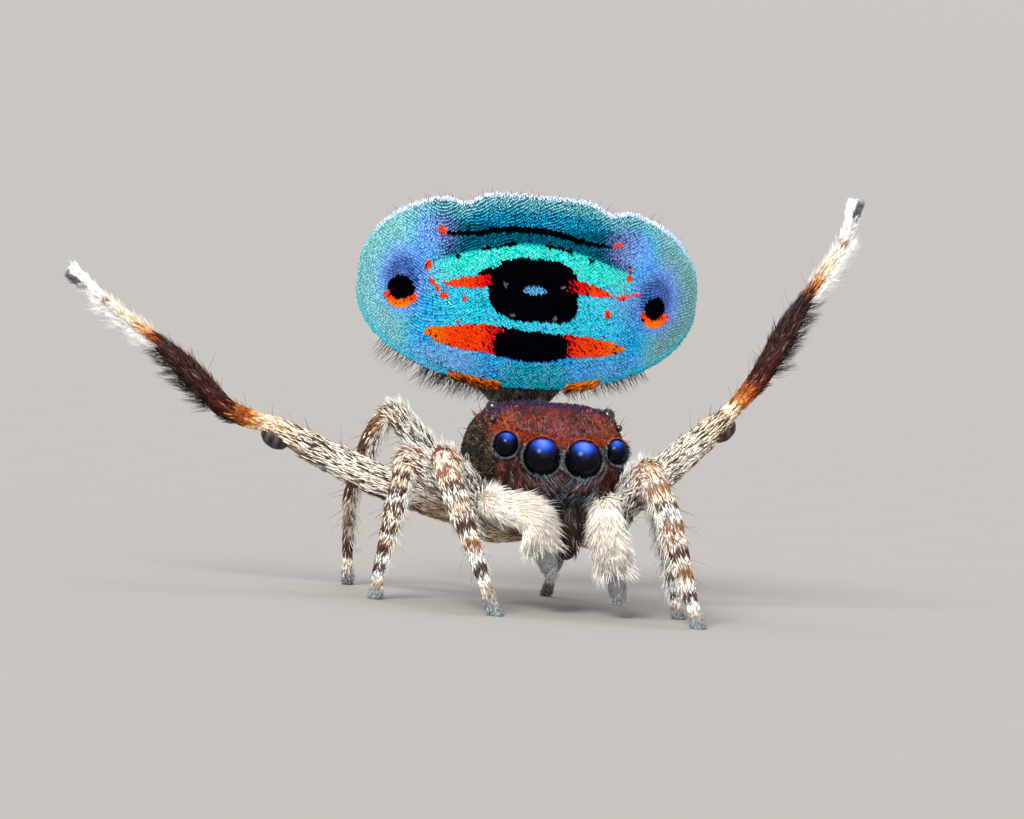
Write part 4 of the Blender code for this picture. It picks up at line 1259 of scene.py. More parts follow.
def carapace_coat():
    """Short hair over the head and thorax, combed back on top and down on the face."""
    hairs = Hairs()
    u, v = carapace_places(11000)
    root, out = head_surface(u, v)
    kept = clear_of_eyes(root, 0.006)
    u, v, root, out = u[kept], v[kept], root[kept], out[kept]
    number = len(root)
    clump = clumps_of(root, number // 7)
    own = varied(number, 0, 1)
    shared = varied(number, 0, 1)[clump]
    tint = carapace_tint(root) * (0.45 + 0.45 * own**2 + 0.60 * shared)[:, None]
    on_top = smooth(0.05, 0.2, root[:, 2]) * smooth(1.5, 1.1, root[:, 1])
    edge = smooth(0.30, 0.62, np.abs(root[:, 0]))
    orange = varied(number, 0, 1) < (0.015 + 0.36 * edge * (shared > 0.45)) * on_top
    tint = np.where(orange[:, None], mixed(rgb(160, 60, 10), rgb(222, 108, 22), own), tint)
    grey = varied(number, 0, 1) < 0.07
    tint = np.where(grey[:, None], rgb(122, 112, 104), tint)
    face = smooth(0.22, 0.06, root[:, 1]) * smooth(0.20, 0.05, root[:, 2])
    low = smooth(-0.05, -0.4, root[:, 2]) * (1 - face)
    lie = mixed(np.array((0, 1.0, 0)), np.array((0, -0.1, -1.0)), face)
    lie = lie + low[:, None] * np.array((0, 0, -0.7))
    length = (0.075 + 0.055 * low) * varied(number, 0.7, 1.4)
    rise = varied(number, 0.15, 0.45) + 0.1 * low + 0.3 * ~clear_of_eyes(root, 0.09)
    place = unwrapped(v, u)
    hairs.add(
        root - 0.004 * out, out, veered(lie, out, 28), length, 0.013, 0.007, rise, 0.6 * rise,
        tint * 0.6, tint, place, HAIR, clump=clump, pull=0.35,
    )
    eye_rims(hairs)
    brow(hairs)
    face_hairs(hairs)
    head_bristles(hairs)
    hairs.piece("coat_carapace", COAT, "shell")


def eye_rims(hairs):
    """Short hair in a ring round each front eye: blue-grey below and at the sides, orange-red above."""
    for name, centre, radius, facing in eye_places():
        if not name.startswith("eye_front"):
            continue
        count = int(1250 * radius / 0.2)
        turn = 2 * math.pi * even_pairs(count, 0.11)[0]
        right = unit(np.cross(facing, (0, 0, 1.0)))
        up = np.cross(right, facing)
        ring = np.cos(turn)[:, None] * right + np.sin(turn)[:, None] * up
        above = smooth(0.35, 0.75, np.sin(turn))
        depth = (varied(count, -0.25, 0.30) - 0.25 * above)[:, None]
        root = centre + radius * 1.03 * unit(ring + depth * facing)
        blue = mixed(rgb(52, 60, 70), rgb(170, 188, 196), varied(count, 0, 1) ** 2.4)
        red = mixed(rgb(104, 30, 14), rgb(206, 80, 24), varied(count, 0, 1))
        tint = mixed(blue, red, above)
        lie = 0.6 * ring + facing * varied(count, 0.1, 0.9)[:, None]
        lie = unit(lie + np.cross(facing, ring) * varied(count, -0.6, 0.6)[:, None])
        place = np.stack([0.02 + 0.96 * turn / (2 * math.pi), np.full(count, 0.01)], -1)
        length = varied(count, 0.040, 0.075) + 0.035 * (1 - above) * varied(count, 0, 1) ** 2
        hairs.add(root, unit(ring), lie, length, 0.008, 0.006, 0.35, 0.05, tint * 0.6, tint, place, THIN)


def brow(hairs):
    """A fringe of orange-red hair that leans out over the front eyes, and pale hair between them."""
    count = 420
    x = varied(count, -0.47, 0.47)
    y = varied(count, 0.0, 0.16)
    root = rows_of(x, y, 0.17 + 0.50 * y)
    out = np.tile(unit((0.0, -0.5, 1.0)), (count, 1))
    lie = unit(rows_of(0.3 * x + chance.normal(0, 0.35, count), -1.0, 0.0))
    tint = mixed(rgb(104, 28, 14), rgb(214, 82, 22), varied(count, 0, 1) ** 1.4)
    hairs.add(
        root, out, lie, varied(count, 0.06, 0.11), 0.011, 0.007, varied(count, 0.25, 0.65), 0.25,
        tint * 0.6, tint, rows_of(0.5 + 0.4 * x, 0.2), THIN,
    )
    count = 70
    x, z = chance.normal(0, 0.02, count), varied(count, -0.16, 0.10)
    root = rows_of(x, -0.04, z)
    lie = unit(rows_of(chance.normal(0, 0.5, count), -0.9, -0.7))
    tint = mixed(rgb(64, 76, 88), rgb(190, 204, 212), varied(count, 0, 1) ** 1.6)
    hairs.add(
        root, forward(count), lie, varied(count, 0.06, 0.12), 0.007, 0.005, 0.4, 0.2, tint, tint,
        rows_of(0.5 + x, 0.1), THIN,
    )


def face_hairs(hairs):
    """Long pale hair that streams down the face from below the eyes to the jaws, and a tuft on each cheek."""
    streams = (
        # count, nearest and farthest from the middle, length, lean towards the middle
        (560, 0.02, 0.62, (0.08, 0.32), 1.1),
        (260, 0.50, 0.70, (0.06, 0.15), 0.2),
    )
    for count, low, high, reach, inward in streams:
        side = np.sign(varied(count, -1, 1))
        x = side * varied(count, low, high)
        z = np.where(high > 0.65, varied(count, -0.36, -0.02), varied(count, -0.44, -0.16))
        root = face_point(x, z)
        lie = unit(rows_of(-side * varied(count, 0.1, inward), -0.12, -0.8))
        out = unit(rows_of(0.7 * x, -1.0, -0.15))
        tint = mixed(rgb(44, 30, 28), rgb(160, 180, 196), varied(count, 0, 1) ** 2.4)
        hairs.add(
            root, out, lie, varied(count, *reach), 0.0050, 0.004, varied(count, 0.20, 0.55),
            varied(count, 0.1, 0.4), tint * 0.8, tint, rows_of(0.5 + 0.4 * x, 0.06), LONG,
        )


def face_point(x, z):
    """A point on the front of the head at x and z: the foremost one of its boxy ovals that reach so far."""
    best = np.full(len(x), 0.5)
    power = np.where(z > WAIST_Z, SHOULDER_POWER, UNDERSIDE_POWER)
    for back, width, top, bottom in CARAPACE_STATIONS[::-1]:
        reach = np.where(z > WAIST_Z, top - WAIST_Z, WAIST_Z - bottom)
        held = (np.abs(x) / width) ** power + (np.abs(z - WAIST_Z) / reach) ** power < 1
        best = np.where(held & (back < best), back, best)
    return rows_of(x, best + 0.01, z)


def head_bristles(hairs):
    """Long dark bristles that stand off the sides and the brow."""
    count = 110
    u = varied(count, 0.26, 0.72)
    v = np.where(varied(count, 0, 1) < 0.5, varied(count, 0.02, 0.17), varied(count, 0.33, 0.48))
    root, out = head_surface(u, v)
    place = unwrapped(v, u)
    lie = np.tile(np.array((0.0, -1.0, 0.2)), (count, 1))
    hairs.add(
        root - 0.01 * out, out, veered(lie, out, 50), varied(count, 0.10, 0.25), 0.0075, 0.006,
        varied(count, 0.5, 0.9), 0.1, BLACK, UMBER, place, LONG,
    )


def eyes():
    """Each eye is a ball. A front eye's painted reflection is strongest above its middle, fading to its rim.
    """
    for name, centre, radius, facing in eye_places():
        in_front = name.startswith("eye_front")
        tip, turn = ball_angles(40, 64) if in_front else ball_angles(22, 36)
        ball = rows_of(np.sin(tip) * np.cos(turn), np.sin(tip) * np.sin(turn), -np.cos(tip))
        points, faces = closed_surface(centre + radius * ball)
        if in_front:
            x, _, height = np.moveaxis((points - centre) / radius, -1, 0)
            # painted reflection of the light above: the lens's blue sheen is set strongest high on the front
            # of each front eye
            painted_reflection = np.exp(-(((height - 0.76) / 0.42) ** 2) - ((x + 0.06) / 0.62) ** 2)
            strength = 1.0 if name.startswith("eye_front_middle") else 0.72
            glow = strength * painted_reflection * smooth(-0.3, 0.5, (points - centre) @ facing / radius)
            make_piece(f"lens_{name}", points, faces, EYE, [name], share=glow)
        else:
            tint = np.tile(rgb(24, 14, 11), (len(points), 1))
            make_piece(f"lens_{name}", points, faces, BULB, [name], tint=tint)


def lower_head():
    """Jaws, mouthparts and sternum."""
    for side, word in ((1, "left"), (-1, "right")):
        line = np.array(CHELICERA) * (side, 1, 1)
        jaw = palp_course(line, CHELICERA_RADII, (0, 0.5, 1), 60)
        rings, joints, _ = jaw.grid(32, 0.006)
        tint = mixed(rgb(30, 18, 16), rgb(62, 28, 22), smooth(0.45, 1.0, joints))
        skin_piece(f"skin_chelicera_{word}", rings, tint, CUTICLE, [f"chelicera_{word}"])
        hairs = Hairs()
        count = 760
        share, turn = spread_over(jaw, count)
        root, out, along, _ = jaw.surface(share, turn, 0.012)
        tint = mixed(rgb(44, 27, 20), rgb(132, 132, 134), (varied(count, 0, 1) < 0.13).astype(float))
        hairs.add(
            root, out, veered(along, out, 20), varied(count, 0.08, 0.17), 0.007, 0.005,
            varied(count, 0.3, 0.6), 0.2, tint, tint, limb_place(share, turn), THIN,
        )
        hairs.piece(f"coat_chelicera_{word}", COAT, "dark_hair")
    ovals = (("sternum", STERNUM, UMBER, 700, 0.09), ("mouthparts", MOUTH, rgb(92, 50, 32), 300, 0.08))
    for name, (centre, half), tint, count, length in ovals:
        shape = oval_shape(centre, half, 0.008)
        rings = shape(*skin_grid(24, 40, 0.03))
        skin_piece(f"skin_{name}", rings, np.broadcast_to(tint, rings.shape), CUTICLE, [name])
        hairs = Hairs()
        root, out, place = oval_roots(shape, centre, count)
        glow = varied(count, 0.6, 1.2)[:, None]
        rise = varied(count, 0.15, 0.45)
        lie = veered(np.tile(unit((0.001, 1.001, 0.001)), (count, 1)), out, 20)
        hairs.add(
            root - 0.006 * out, out, lie, length * varied(count, 0.7, 1.2), 0.012, 0.008, rise, 0.6 * rise,
            DIM_GREY * glow, CREAM * 0.8 * glow, place, HAIR,
        )
        hairs.piece(f"coat_{name}", COAT, "dark_hair")


def oval_roots(shape, centre, count):
    """Even roots over an ovoid, the ways out of it and the places on its unwrap."""
    first, v = even_pairs(count, 0.23)
    u = np.arccos(1 - 2 * np.clip(first, 0.01, 0.99)) / math.pi
    root, out = on_surface(shape, u, v)
    out = out * np.sign(np.einsum("ij,ij->i", out, root - centre))[:, None]
    return root, out, unwrapped(v, u)


# Fan and abdomen


def in_oval(x, z, at, half, power=2.0):
    """Below 1 inside an oval, and 1 on its edge."""
    return np.abs((x - at[0]) / half[0]) ** power + np.abs((z - at[1]) / half[1]) ** power


UPPER_LINE = (
    (-1.006, 0.602), (-0.68, 0.630), (-0.463, 0.680), (-0.30, 0.706), (-0.078, 0.712), (0.145, 0.705),
    (0.371, 0.668), (0.543, 0.626), (0.714, 0.600), (0.913, 0.583),
)
UPPER_LINE_HALF = ((-1.0, 0.016), (-0.6, 0.026), (-0.2, 0.036), (0.4, 0.036), (0.7, 0.024), (0.92, 0.014))
SECOND_LINES = (
    ((-0.62, 0.448), (-0.40, 0.500), (-0.20, 0.552)),
    ((0.13, 0.549), (0.30, 0.530), (0.45, 0.488)),
)
BAR_MIDDLE = (
    (-1.165, -0.527), (-0.87, -0.557), (-0.50, -0.550), (0.06, -0.600), (0.48, -0.570), (1.165, -0.571),
)
RED_BITS = (
    # x, z, half width, half height, slope
    (-1.056, 0.617, 0.058, 0.044, 0.0),
    (0.960, 0.606, 0.060, 0.030, 0.15),
    (-1.182, 0.224, 0.038, 0.060, 0.0),
    (-1.096, 0.013, 0.070, 0.038, -0.9),
    (-0.976, -0.107, 0.046, 0.036, 0.0),
    (-0.751, -0.115, 0.032, 0.034, 0.0),
    (-0.794, -0.377, 0.014, 0.014, 0.0),
    (1.131, 0.345, 0.026, 0.040, 0.0),
    (1.125, 0.250, 0.034, 0.042, 0.0),
    (1.060, 0.020, 0.070, 0.028, 0.3),
    (1.200, 0.060, 0.110, 0.016, 0.3),
    (0.909, -0.180, 0.036, 0.058, 0.0),
)
SIDE_SPOTS = ((-1.465, -0.050, 0.150, 0.138), (1.469, -0.080, 0.120, 0.138))
GREY_DOTS = ((-0.309, 0.106), (0.349, 0.122), (-0.203, -0.231), (0.285, -0.231))
OCELLUS = ((0.035, 0.040), (0.515, 0.362))
MIDDLE_X = 0.065
# The flaps take over from the plate from the first to the second of these distances from the middle.
FLAP_FROM = 1.15
FLAP_TO = 1.50
# The rows of scales rise to both sides of an upright line, and bend over so wide a stretch of it.
ROWS_TURN = -1.05
ROWS_BEND = 0.15
ROWS_SLOPE = 0.75

TURQUOISE = rgb(14, 238, 216)
CYAN = rgb(4, 202, 244)
SKY = rgb(0, 160, 244)
DEEP_TEAL = rgb(0, 82, 104)
TEAL = rgb(8, 120, 166)
RIM_GREEN = rgb(108, 176, 186)
RIM_GREY = rgb(104, 150, 156)
SEA = rgb(0, 168, 206)
BLUE = rgb(112, 178, 255)
VIOLET = rgb(142, 138, 246)
SPOT_BLUE = rgb(88, 118, 226)
# lavender-white of the painted rim highlight along the fan's top
RIM_HIGHLIGHT = rgb(214, 218, 246)
INK = rgb(3, 2, 6)
SCARLET = rgb(255, 62, 14)
CRIMSON = rgb(222, 14, 24)
AMBER = rgb(255, 128, 10)


def fan_blues(x, z):
    """The blues and greens of the fan, from one zone to the next."""
    across = np.abs(x - 0.02)
    arch = 0.46 - 0.25 * (across / 1.07) ** 1.7
    colour = mixed(SKY, CYAN, smooth(0.65, 0.2, np.abs(z + 0.12)) * smooth(1.35, 0.7, across))
    colour = mixed(colour, TEAL, smooth(0.60, 0.78, z) * smooth(1.5, 1.0, across))
    between = smooth(0.05, 0.11, z - arch) * smooth(0.80, 0.70, z) * smooth(1.20, 0.95, across)
    colour = mixed(colour, DEEP_TEAL, between)
    arched = smooth(0.12, 0.06, z - arch) * smooth(-0.26, -0.10, z - arch)
    colour = mixed(colour, TURQUOISE, arched * smooth(1.25, 1.0, across))
    colour = mixed(colour, SEA, smooth(0.55, 0.20, np.abs(x - 0.12)) * smooth(-0.76, -0.86, z))
    low = smooth(0.30, 0.10, np.abs(z + 0.88)) * smooth(0.45, 0.75, across)
    colour = mixed(colour, BLUE, np.where(x > 0, 0.3, 0.8) * low * smooth(1.5, 1.1, across))
    colour = mixed(colour, SEA, 0.45 * smooth(0.25, 0.05, np.abs(z + 0.45)) * smooth(1.1, 1.4, across))
    violet_spots = (
        # x, z, reach, share
        (-1.16, 0.60, 0.40, 0.50),
        (1.12, 0.58, 0.38, 0.55),
        (-1.08, 0.08, 0.30, 0.25),
        (1.10, 0.00, 0.34, 0.35),
    )
    for at_x, at_z, reach, share in violet_spots:
        colour = mixed(colour, VIOLET, share * smooth(reach, 0.05, np.hypot(x - at_x, z - at_z)))
    side_colour = np.where((x > 0)[..., None], RIM_GREY, RIM_GREEN)
    colour = mixed(colour, side_colour, smooth(1.30, 1.62, across + 0.12 * np.abs(z)))
    halo = np.minimum(*(np.hypot(x - at[0], 0.72 * (z - at[1] - 0.10)) for at in SIDE_SPOTS))
    colour = mixed(colour, SPOT_BLUE, 0.75 * smooth(0.40, 0.18, halo))
    colour = mixed(colour, INK, 0.55 * smooth(0.24, 0.13, halo))
    top, foot = fan_edge(x)
    colour = mixed(colour, RIM_GREEN, 0.75 * smooth(0.24, 0.05, top - z) * smooth(-0.1, 0.3, z))
    # painted rim highlight: a lavender-white band along the very top of the fan
    colour = mixed(colour, RIM_HIGHLIGHT, 0.75 * smooth(0.055, 0.015, top - z) * smooth(0.25, 0.75, z))
    colour = mixed(colour, SEA, 0.6 * smooth(0.12, 0.04, z - foot))
    return colour


def fan_marks(x, z):
    """Black and red markings: whether a place is black or red, and how far the red goes to amber."""
    plain = np.stack([x, z], -1)
    x = x + 0.007 * ripple(plain, 0.08, 61)
    z = z + 0.007 * ripple(plain, 0.08, 62)
    black = np.zeros(x.shape, bool)
    red = np.zeros(x.shape, bool)

    span = np.where(x < 0, (x + 0.45) / -0.55, (x - 0.50) / 0.46)
    taper = np.clip(1 - np.clip(span, 0, 1) ** 2.4, 0, 1) ** 0.8
    fall = np.where(x < 0, 0.085, 0.090)
    wing = np.abs(z - 0.030 - fall * (1 - np.clip(span, 0, 1))) < 0.074 * taper
    wing &= (span < 1) & (span > np.where(x < 0, 0.0, -0.2))
    broken = ripple(plain, 0.045, 63)
    wing &= broken < smooth(-0.25, 0.35, span) * 2 - 0.5

    middle = np.interp(x, *np.array(BAR_MIDDLE).T)
    reach = np.where(x < MIDDLE_X, 0.168, 0.140)
    bar = np.abs(z - middle) < reach * np.clip(1 - np.minimum(np.abs(x) / 1.165, 1) ** 3.0, 0, 1) ** 0.65
    red |= bar
    from_middle = np.abs(x - MIDDLE_X)
    black |= bar & (from_middle < 0.375 + 0.05 * broken)
    black |= (from_middle < 0.42) & (np.abs(z + 0.605) < 0.178 - 0.07 * (from_middle / 0.42) ** 2)
    amber = np.where(bar, 0.8 * smooth(0.80, 1.10, np.abs(x)) - 0.9 * smooth(0.62, 0.42, from_middle), 0.0)
    amber = np.where(wing, -smooth(0.55, 0.10, span), amber)

    line_z = np.interp(x, *np.array(UPPER_LINE).T)
    half = np.interp(x, *np.array(UPPER_LINE_HALF).T)
    black |= (np.abs(z - line_z) < half) & (x > -1.0) & (x < 0.92)
    for points in SECOND_LINES:
        xs, zs = np.array(points).T
        black |= (np.abs(z - np.interp(x, xs, zs)) < 0.020) & (x > xs[0]) & (x < xs[-1])
    for at in ((-0.852, 0.354), (0.671, 0.411)):
        black |= in_oval(x, z, at, (0.032, 0.028)) < 1
    for at_x, at_z, wide, high, slope in RED_BITS:
        red |= in_oval(x, z - slope * (x - at_x), (at_x, at_z), (wide, high)) < 1

    black |= (in_oval(x, z, *OCELLUS, 2.6) < 1) | (in_oval(x, z, (0.34, -0.13), (0.22, 0.19)) < 1)
    black |= in_oval(x, z, (-0.40, 0.16), (0.22, 0.10)) < 1
    black &= ~(in_oval(x, z, (0.005, 0.425), (0.06, 0.045)) < 1)
    black &= ~wing
    red |= wing
    for at_x, at_z, wide, high in SIDE_SPOTS:
        crescent = in_oval(x, z, (at_x, at_z - 0.05), (wide + 0.045, high + 0.045)) < 1
        red |= crescent & (z < at_z - 0.06)
        amber = np.where(crescent, smooth(at_z - 0.10, at_z - 0.20, z), amber)
        black |= in_oval(x, z, (at_x, at_z), (wide, high)) < 1
    return black, red & ~black, amber


def fan_tint(x, z):
    """Colour of the fan at a place, its share of metallic shine, and whether it is black or red there."""
    black, red, amber = fan_marks(x, z)
    colour = fan_blues(x, z)
    warm = mixed(mixed(SCARLET, AMBER, 0.75 * np.clip(amber, 0, 1)), CRIMSON, np.clip(-amber, 0, 1))
    colour = np.where(red[..., None], warm, colour)
    colour = np.where(black[..., None], INK, colour)
    pupil = in_oval(x, z, (0.044, 0.037), (0.13, 0.045), 2.6) < 1
    colour = np.where(pupil[..., None], rgb(70, 150, 222), colour)
    shine = np.where(black | red, 0.0, 0.12)
    return colour, np.where(pupil, 0.0, shine), black & ~pupil, red


def fan_skin():
    """The fan's skin under its scales, with the same marks, dimmer; grey behind."""
    u, v = skin_grid(220, 200, 0.004)
    rings = fan_shape(u, v)
    flat = rings - FAN_AT
    colour, *_ = fan_tint(flat[..., 0], flat[..., 2])
    behind = np.cos(2 * math.pi * v) < 0
    under = 0.16 + 0.4 * smooth(FLAP_FROM, FLAP_TO, np.abs(flat[..., :1]))
    colour = np.where(behind[..., None], rgb(120, 112, 118), colour * under)
    nodes = ["fan_plate", "fan_flap_left", "fan_flap_right"]
    skin_piece("skin_fan", rings, colour, SCALES, nodes)


def fan_normal(x, z, side):
    """The ways out of the fan's face and up it, from differences over a small step."""
    step = 0.01
    across = fan_face(x + step, z, side) - fan_face(x - step, z, side)
    up = fan_face(x, z + step, side) - fan_face(x, z - step, side)
    return unit(np.cross(across, up)) * side, unit(up)


def fan_rows(step_x, step_z, margin, slope=0.0):
    """Places of scales in offset rows inside the fan's edge. Sloping rows rise to both sides of a line."""
    rows = np.arange(-1.15 - 3.2 * slope, 1.15, step_z)
    columns = np.arange(-2.0, 2.0, step_x)
    z, x = np.meshgrid(rows, columns, indexing="ij")
    x = x + 0.5 * step_x * (np.arange(len(rows)) % 2)[:, None]
    x, z = x.ravel(), z.ravel()
    flat = np.stack([x, z], -1)
    sheared = np.stack([x, 0.35 * z], -1)
    z = z + slope * np.hypot(x - ROWS_TURN, ROWS_BEND)
    z = z + 0.040 * ripple(sheared, 0.50, 71) + 0.008 * ripple(flat, 0.15, 73)
    z = z + chance.normal(0, 0.04 * step_z, len(x))
    x = x + 0.006 * ripple(flat, 0.25, 72) + chance.normal(0, 0.12 * step_x, len(x))
    top, foot = fan_edge(x)
    kept = (z < top - 0.4 * margin) & (z > foot + margin) & (np.abs(x) < FAN_HALF_WIDTH - margin)
    return x[kept], z[kept]


def fan_place(x, z, side):
    """Place on the fan's unwrap: its front fills the left half and its back the right half."""
    u = (x / FAN_HALF_WIDTH + 1) / 2
    v = (z / FAN_HALF_HEIGHT + 1) / 2
    shift = 0.0 if side > 0 else 0.5
    return np.stack([shift + 0.01 + 0.48 * np.clip(u, 0, 1), 0.01 + 0.98 * np.clip(v, 0, 1)], -1)


def fan_front():
    """Small overlapping scales, which throw back blue and green, lie down the fan and to both its sides."""
    x, z = fan_rows(0.0118, 0.0328, 0.028, ROWS_SLOPE)
    number = len(x)
    flat = np.stack([x, z], -1)
    out, up = fan_normal(x, z, 1)
    sideways = ROWS_SLOPE * (x - ROWS_TURN) / np.hypot(x - ROWS_TURN, ROWS_BEND)
    sideways = sideways + 0.2 * ripple(flat, 0.45, 91)
    lie = unit(sideways[:, None] * np.array((1.0, 0, 0)) - up)
    reach = 0.045 * varied(number, 0.94, 1.06)
    colour, shine, black, red = fan_tint(x + 0.75 * reach * lie[:, 0], z + 0.75 * reach * lie[:, 2])
    pick = varied(number, 0, 1)
    plain = ~(black | red)
    glow = smooth(0.25, 0.9, colour.max(-1))
    # painted glints: scattered scales, more of them low on the fan, are mixed towards violet
    violet_glint = (0.25 * glow + 0.4 * smooth(-0.55, -0.85, z)) * smooth(0.78, 0.95, pick)
    colour = mixed(colour, VIOLET, np.where(plain, violet_glint, 0))
    flap = smooth(FLAP_FROM, FLAP_TO, np.abs(x))
    rough = 0.8 - 0.5 * flap
    vein = ripple(flat, 0.055, 81)
    bright = 1 + rough * (0.50 * vein + 0.30 * varied(number, -1, 1))
    colour = colour * np.where(plain, bright, varied(number, 0.9, 1.15))[:, None]
    # painted glints: where the vein pattern and chance run high, scale tips are mixed towards a white-cyan
    # highlight
    glint = np.clip(0.3 + 1.2 * vein + varied(number, -0.8, 1.1), 0, 2)
    white = np.where(plain, glow * (0.04 + 0.62 * rough * glint), 0)
    inner = smooth(0.66, 0.40, np.abs(x - MIDDLE_X))
    fleck = (varied(number, 0, 1) < 0.08 + 0.3 * inner) & red
    colour = np.where(fleck[:, None], rgb(70, 6, 10), colour)
    for at in GREY_DOTS:
        dot = np.hypot(x - at[0], z - at[1]) < 0.030
        colour = np.where(dot[:, None], rgb(70, 76, 76), colour)
    root = fan_face(x, z, 1)
    out = unit(out + 0.12 * chance.normal(0, 1, (number, 3)))
    # painted shade: scale roots, which lie under the tips of the row above, are darker than their colour,
    # least on the flaps and on red and black
    painted_root_shade = np.where(plain, 0.28 + 0.40 * glow + 0.30 * flap, 0.8)[:, None]
    # painted highlight: each tip is brightened towards the full strength of its hue, then mixed with the
    # white-cyan glint
    highlight_gain = np.minimum(3.0, 1.7 / colour.max(-1))[:, None]
    tip = mixed(np.minimum(highlight_gain * colour, 1), rgb(176, 248, 255), white)
    for part, low, high in (("lower", -2, -0.3), ("middle", -0.3, 0.3), ("upper", 0.3, 2)):
        own = (z >= low) & (z < high)
        size = int(own.sum())
        hairs = Hairs()
        hairs.add(
            root[own], out[own], veered(lie[own], out[own], 6), reach[own], 0.0148 * varied(size, 0.9, 1.1),
            0.0028, varied(size, 0.08, 0.22) * (1 - 0.6 * flap[own]), 0.06, colour[own] * painted_root_shade[own], tip[own],
            fan_place(x[own], z[own], 1), RIDGED_SCALE, share=shine[own], shade=(0.48, 0.72),
        )
        if part == "upper":
            fan_rim(hairs)
        hairs.piece(f"scales_fan_{part}", SCALES, "fan_scales")


def fan_rim(hairs):
    """Longer pale scales that stand a little out from the rim, painted whitest along its top as a rim
    highlight.

    The rim is the fan's rounded oblong: x and z are powers of the cosine and sine of the turn.
    """
    count = 3000
    turn = 2 * math.pi * even_pairs(count, 0.3)[0]
    power = 2 / np.where(np.sin(turn) > 0, FAN_TOP_POWER, FAN_FOOT_POWER)
    inward = varied(count, 0.022, 0.055)
    x = (FAN_HALF_WIDTH - inward) * np.sign(np.cos(turn)) * np.abs(np.cos(turn)) ** power
    z = (FAN_HALF_HEIGHT - inward) * np.sign(np.sin(turn)) * np.abs(np.sin(turn)) ** power
    for notch in FAN_NOTCHES:
        z = z - FAN_NOTCH_DEPTH * np.exp(-(((x - notch) / FAN_NOTCH_SPREAD) ** 2)) * (z > 0)
    side = np.where(varied(count, 0, 1) < 0.7, 1.0, -1.0)
    root = fan_face(x, z, side)
    outward = unit(rows_of(x / FAN_HALF_WIDTH**2, 0.0, z / FAN_HALF_HEIGHT**2))
    round_it = rows_of(outward[:, 2], 0.0, -outward[:, 0])
    lie = unit(outward + round_it * (np.where(x < 0, 0.4, -0.4) * varied(count, 0.0, 1.8))[:, None])
    facing = forward(count) * side[:, None]
    # painted rim highlight: towards the top, rim scales are mixed towards lavender-white, and their tips are
    # lightened
    above = smooth(0.30, 0.85, z / FAN_HALF_HEIGHT)
    tint = mixed(fan_blues(x, z), rgb(212, 214, 250), above * varied(count, 0.35, 1.0))
    length = (0.026 + 0.014 * above) * varied(count, 0.7, 1.4)
    hairs.add(
        root, unit(facing + 0.3 * outward), lie, length, 0.021, 0.005, varied(count, 0.0, 0.25), 0.1,
        tint * 0.6, tint * 1.1, fan_place(x, z, 1), SCALE, share=0.2,
    )


def fan_hairs():
    """Dark hair that hangs from the lower rim, gold and orange tufts over it, fine hair on the top rim."""
    hairs = Hairs()
    rows = (
        # from, to, count, length
        (-1.62, -1.05, 70, (0.12, 0.28)),
        (-1.10, -0.20, 330, (0.12, 0.32)),
        (-0.30, 0.70, 260, (0.08, 0.17)),
        (0.55, 1.40, 170, (0.10, 0.24)),
    )
    for low, high, count, reach in rows:
        x = varied(count, low, high)
        foot = fan_edge(x)[1]
        back = fan_bend(x, foot) + varied(count, -0.03, 0.10)
        root = FAN_AT + rows_of(x, back, foot + varied(count, 0.0, 0.06))
        tilt = 0.75 * x / FAN_HALF_WIDTH + chance.normal(0, 0.22, count)
        lie = unit(rows_of(tilt, chance.normal(0.05, 0.15, count), -1.0))
        tint = mixed(rgb(16, 16, 18), rgb(84, 86, 84), varied(count, 0, 1) ** 2)
        bend = rows_of(0.35 * np.sign(x), 0.0, 0.15) * varied(count, 0, 1)[:, None]
        hairs.add(
            root, forward(count), lie, varied(count, *reach), 0.0060, 0.005, varied(count, -0.1, 0.3), 0.0,
            tint, tint, fan_place(x, foot, 1), LONG, bend=bend,
        )
    for low, high, count in ((-0.84, -0.30, 520), (0.56, 0.92, 360)):
        x = varied(count, low, high)
        z = fan_edge(x)[1] + varied(count, 0.0, 0.08)
        sweep = -0.9 * np.sign(x) + chance.normal(0, 0.25, count)
        lie = unit(rows_of(sweep, 0.0, -0.55))
        pick = varied(count, 0, 1)
        tint = mixed(rgb(236, 70, 4), rgb(255, 156, 10), pick)
        tint = np.where((varied(count, 0, 1) < 0.3)[:, None], INK, tint)
        root = fan_face(x, z, 1) + np.array((0, -0.01, 0))
        hairs.add(
            root, forward(count), lie, varied(count, 0.08, 0.17), 0.010, 0.006, varied(count, 0.1, 0.4), 0.2,
            tint * 0.4, tint, fan_place(x, z, 1), HAIR, clump=clumps_of(root, 60), pull=0.5,
        )
    count = 60
    x = varied(count, -1.8, 1.8)
    top = fan_edge(x)[0]
    root = FAN_AT + rows_of(x, fan_bend(x, top), top - 0.04)
    lie = unit(rows_of(0.3 * x + chance.normal(0, 0.3, count), chance.normal(0, 0.2, count), 1.0))
    hairs.add(
        root, forward(count), lie, varied(count, 0.08, 0.17), 0.005, 0.004, 0.0, 0.0, UMBER, SLATE,
        fan_place(x, top, 1), LONG, bend=rows_of(0.3 * np.sign(x), 0.0, 0.0),
    )
    hairs.piece("hair_fan_rim", COAT, "fan_scales")


def forward(count):
    """So many directions that face the front."""
    return np.tile(np.array((0.0, -1.0, 0.0)), (count, 1))


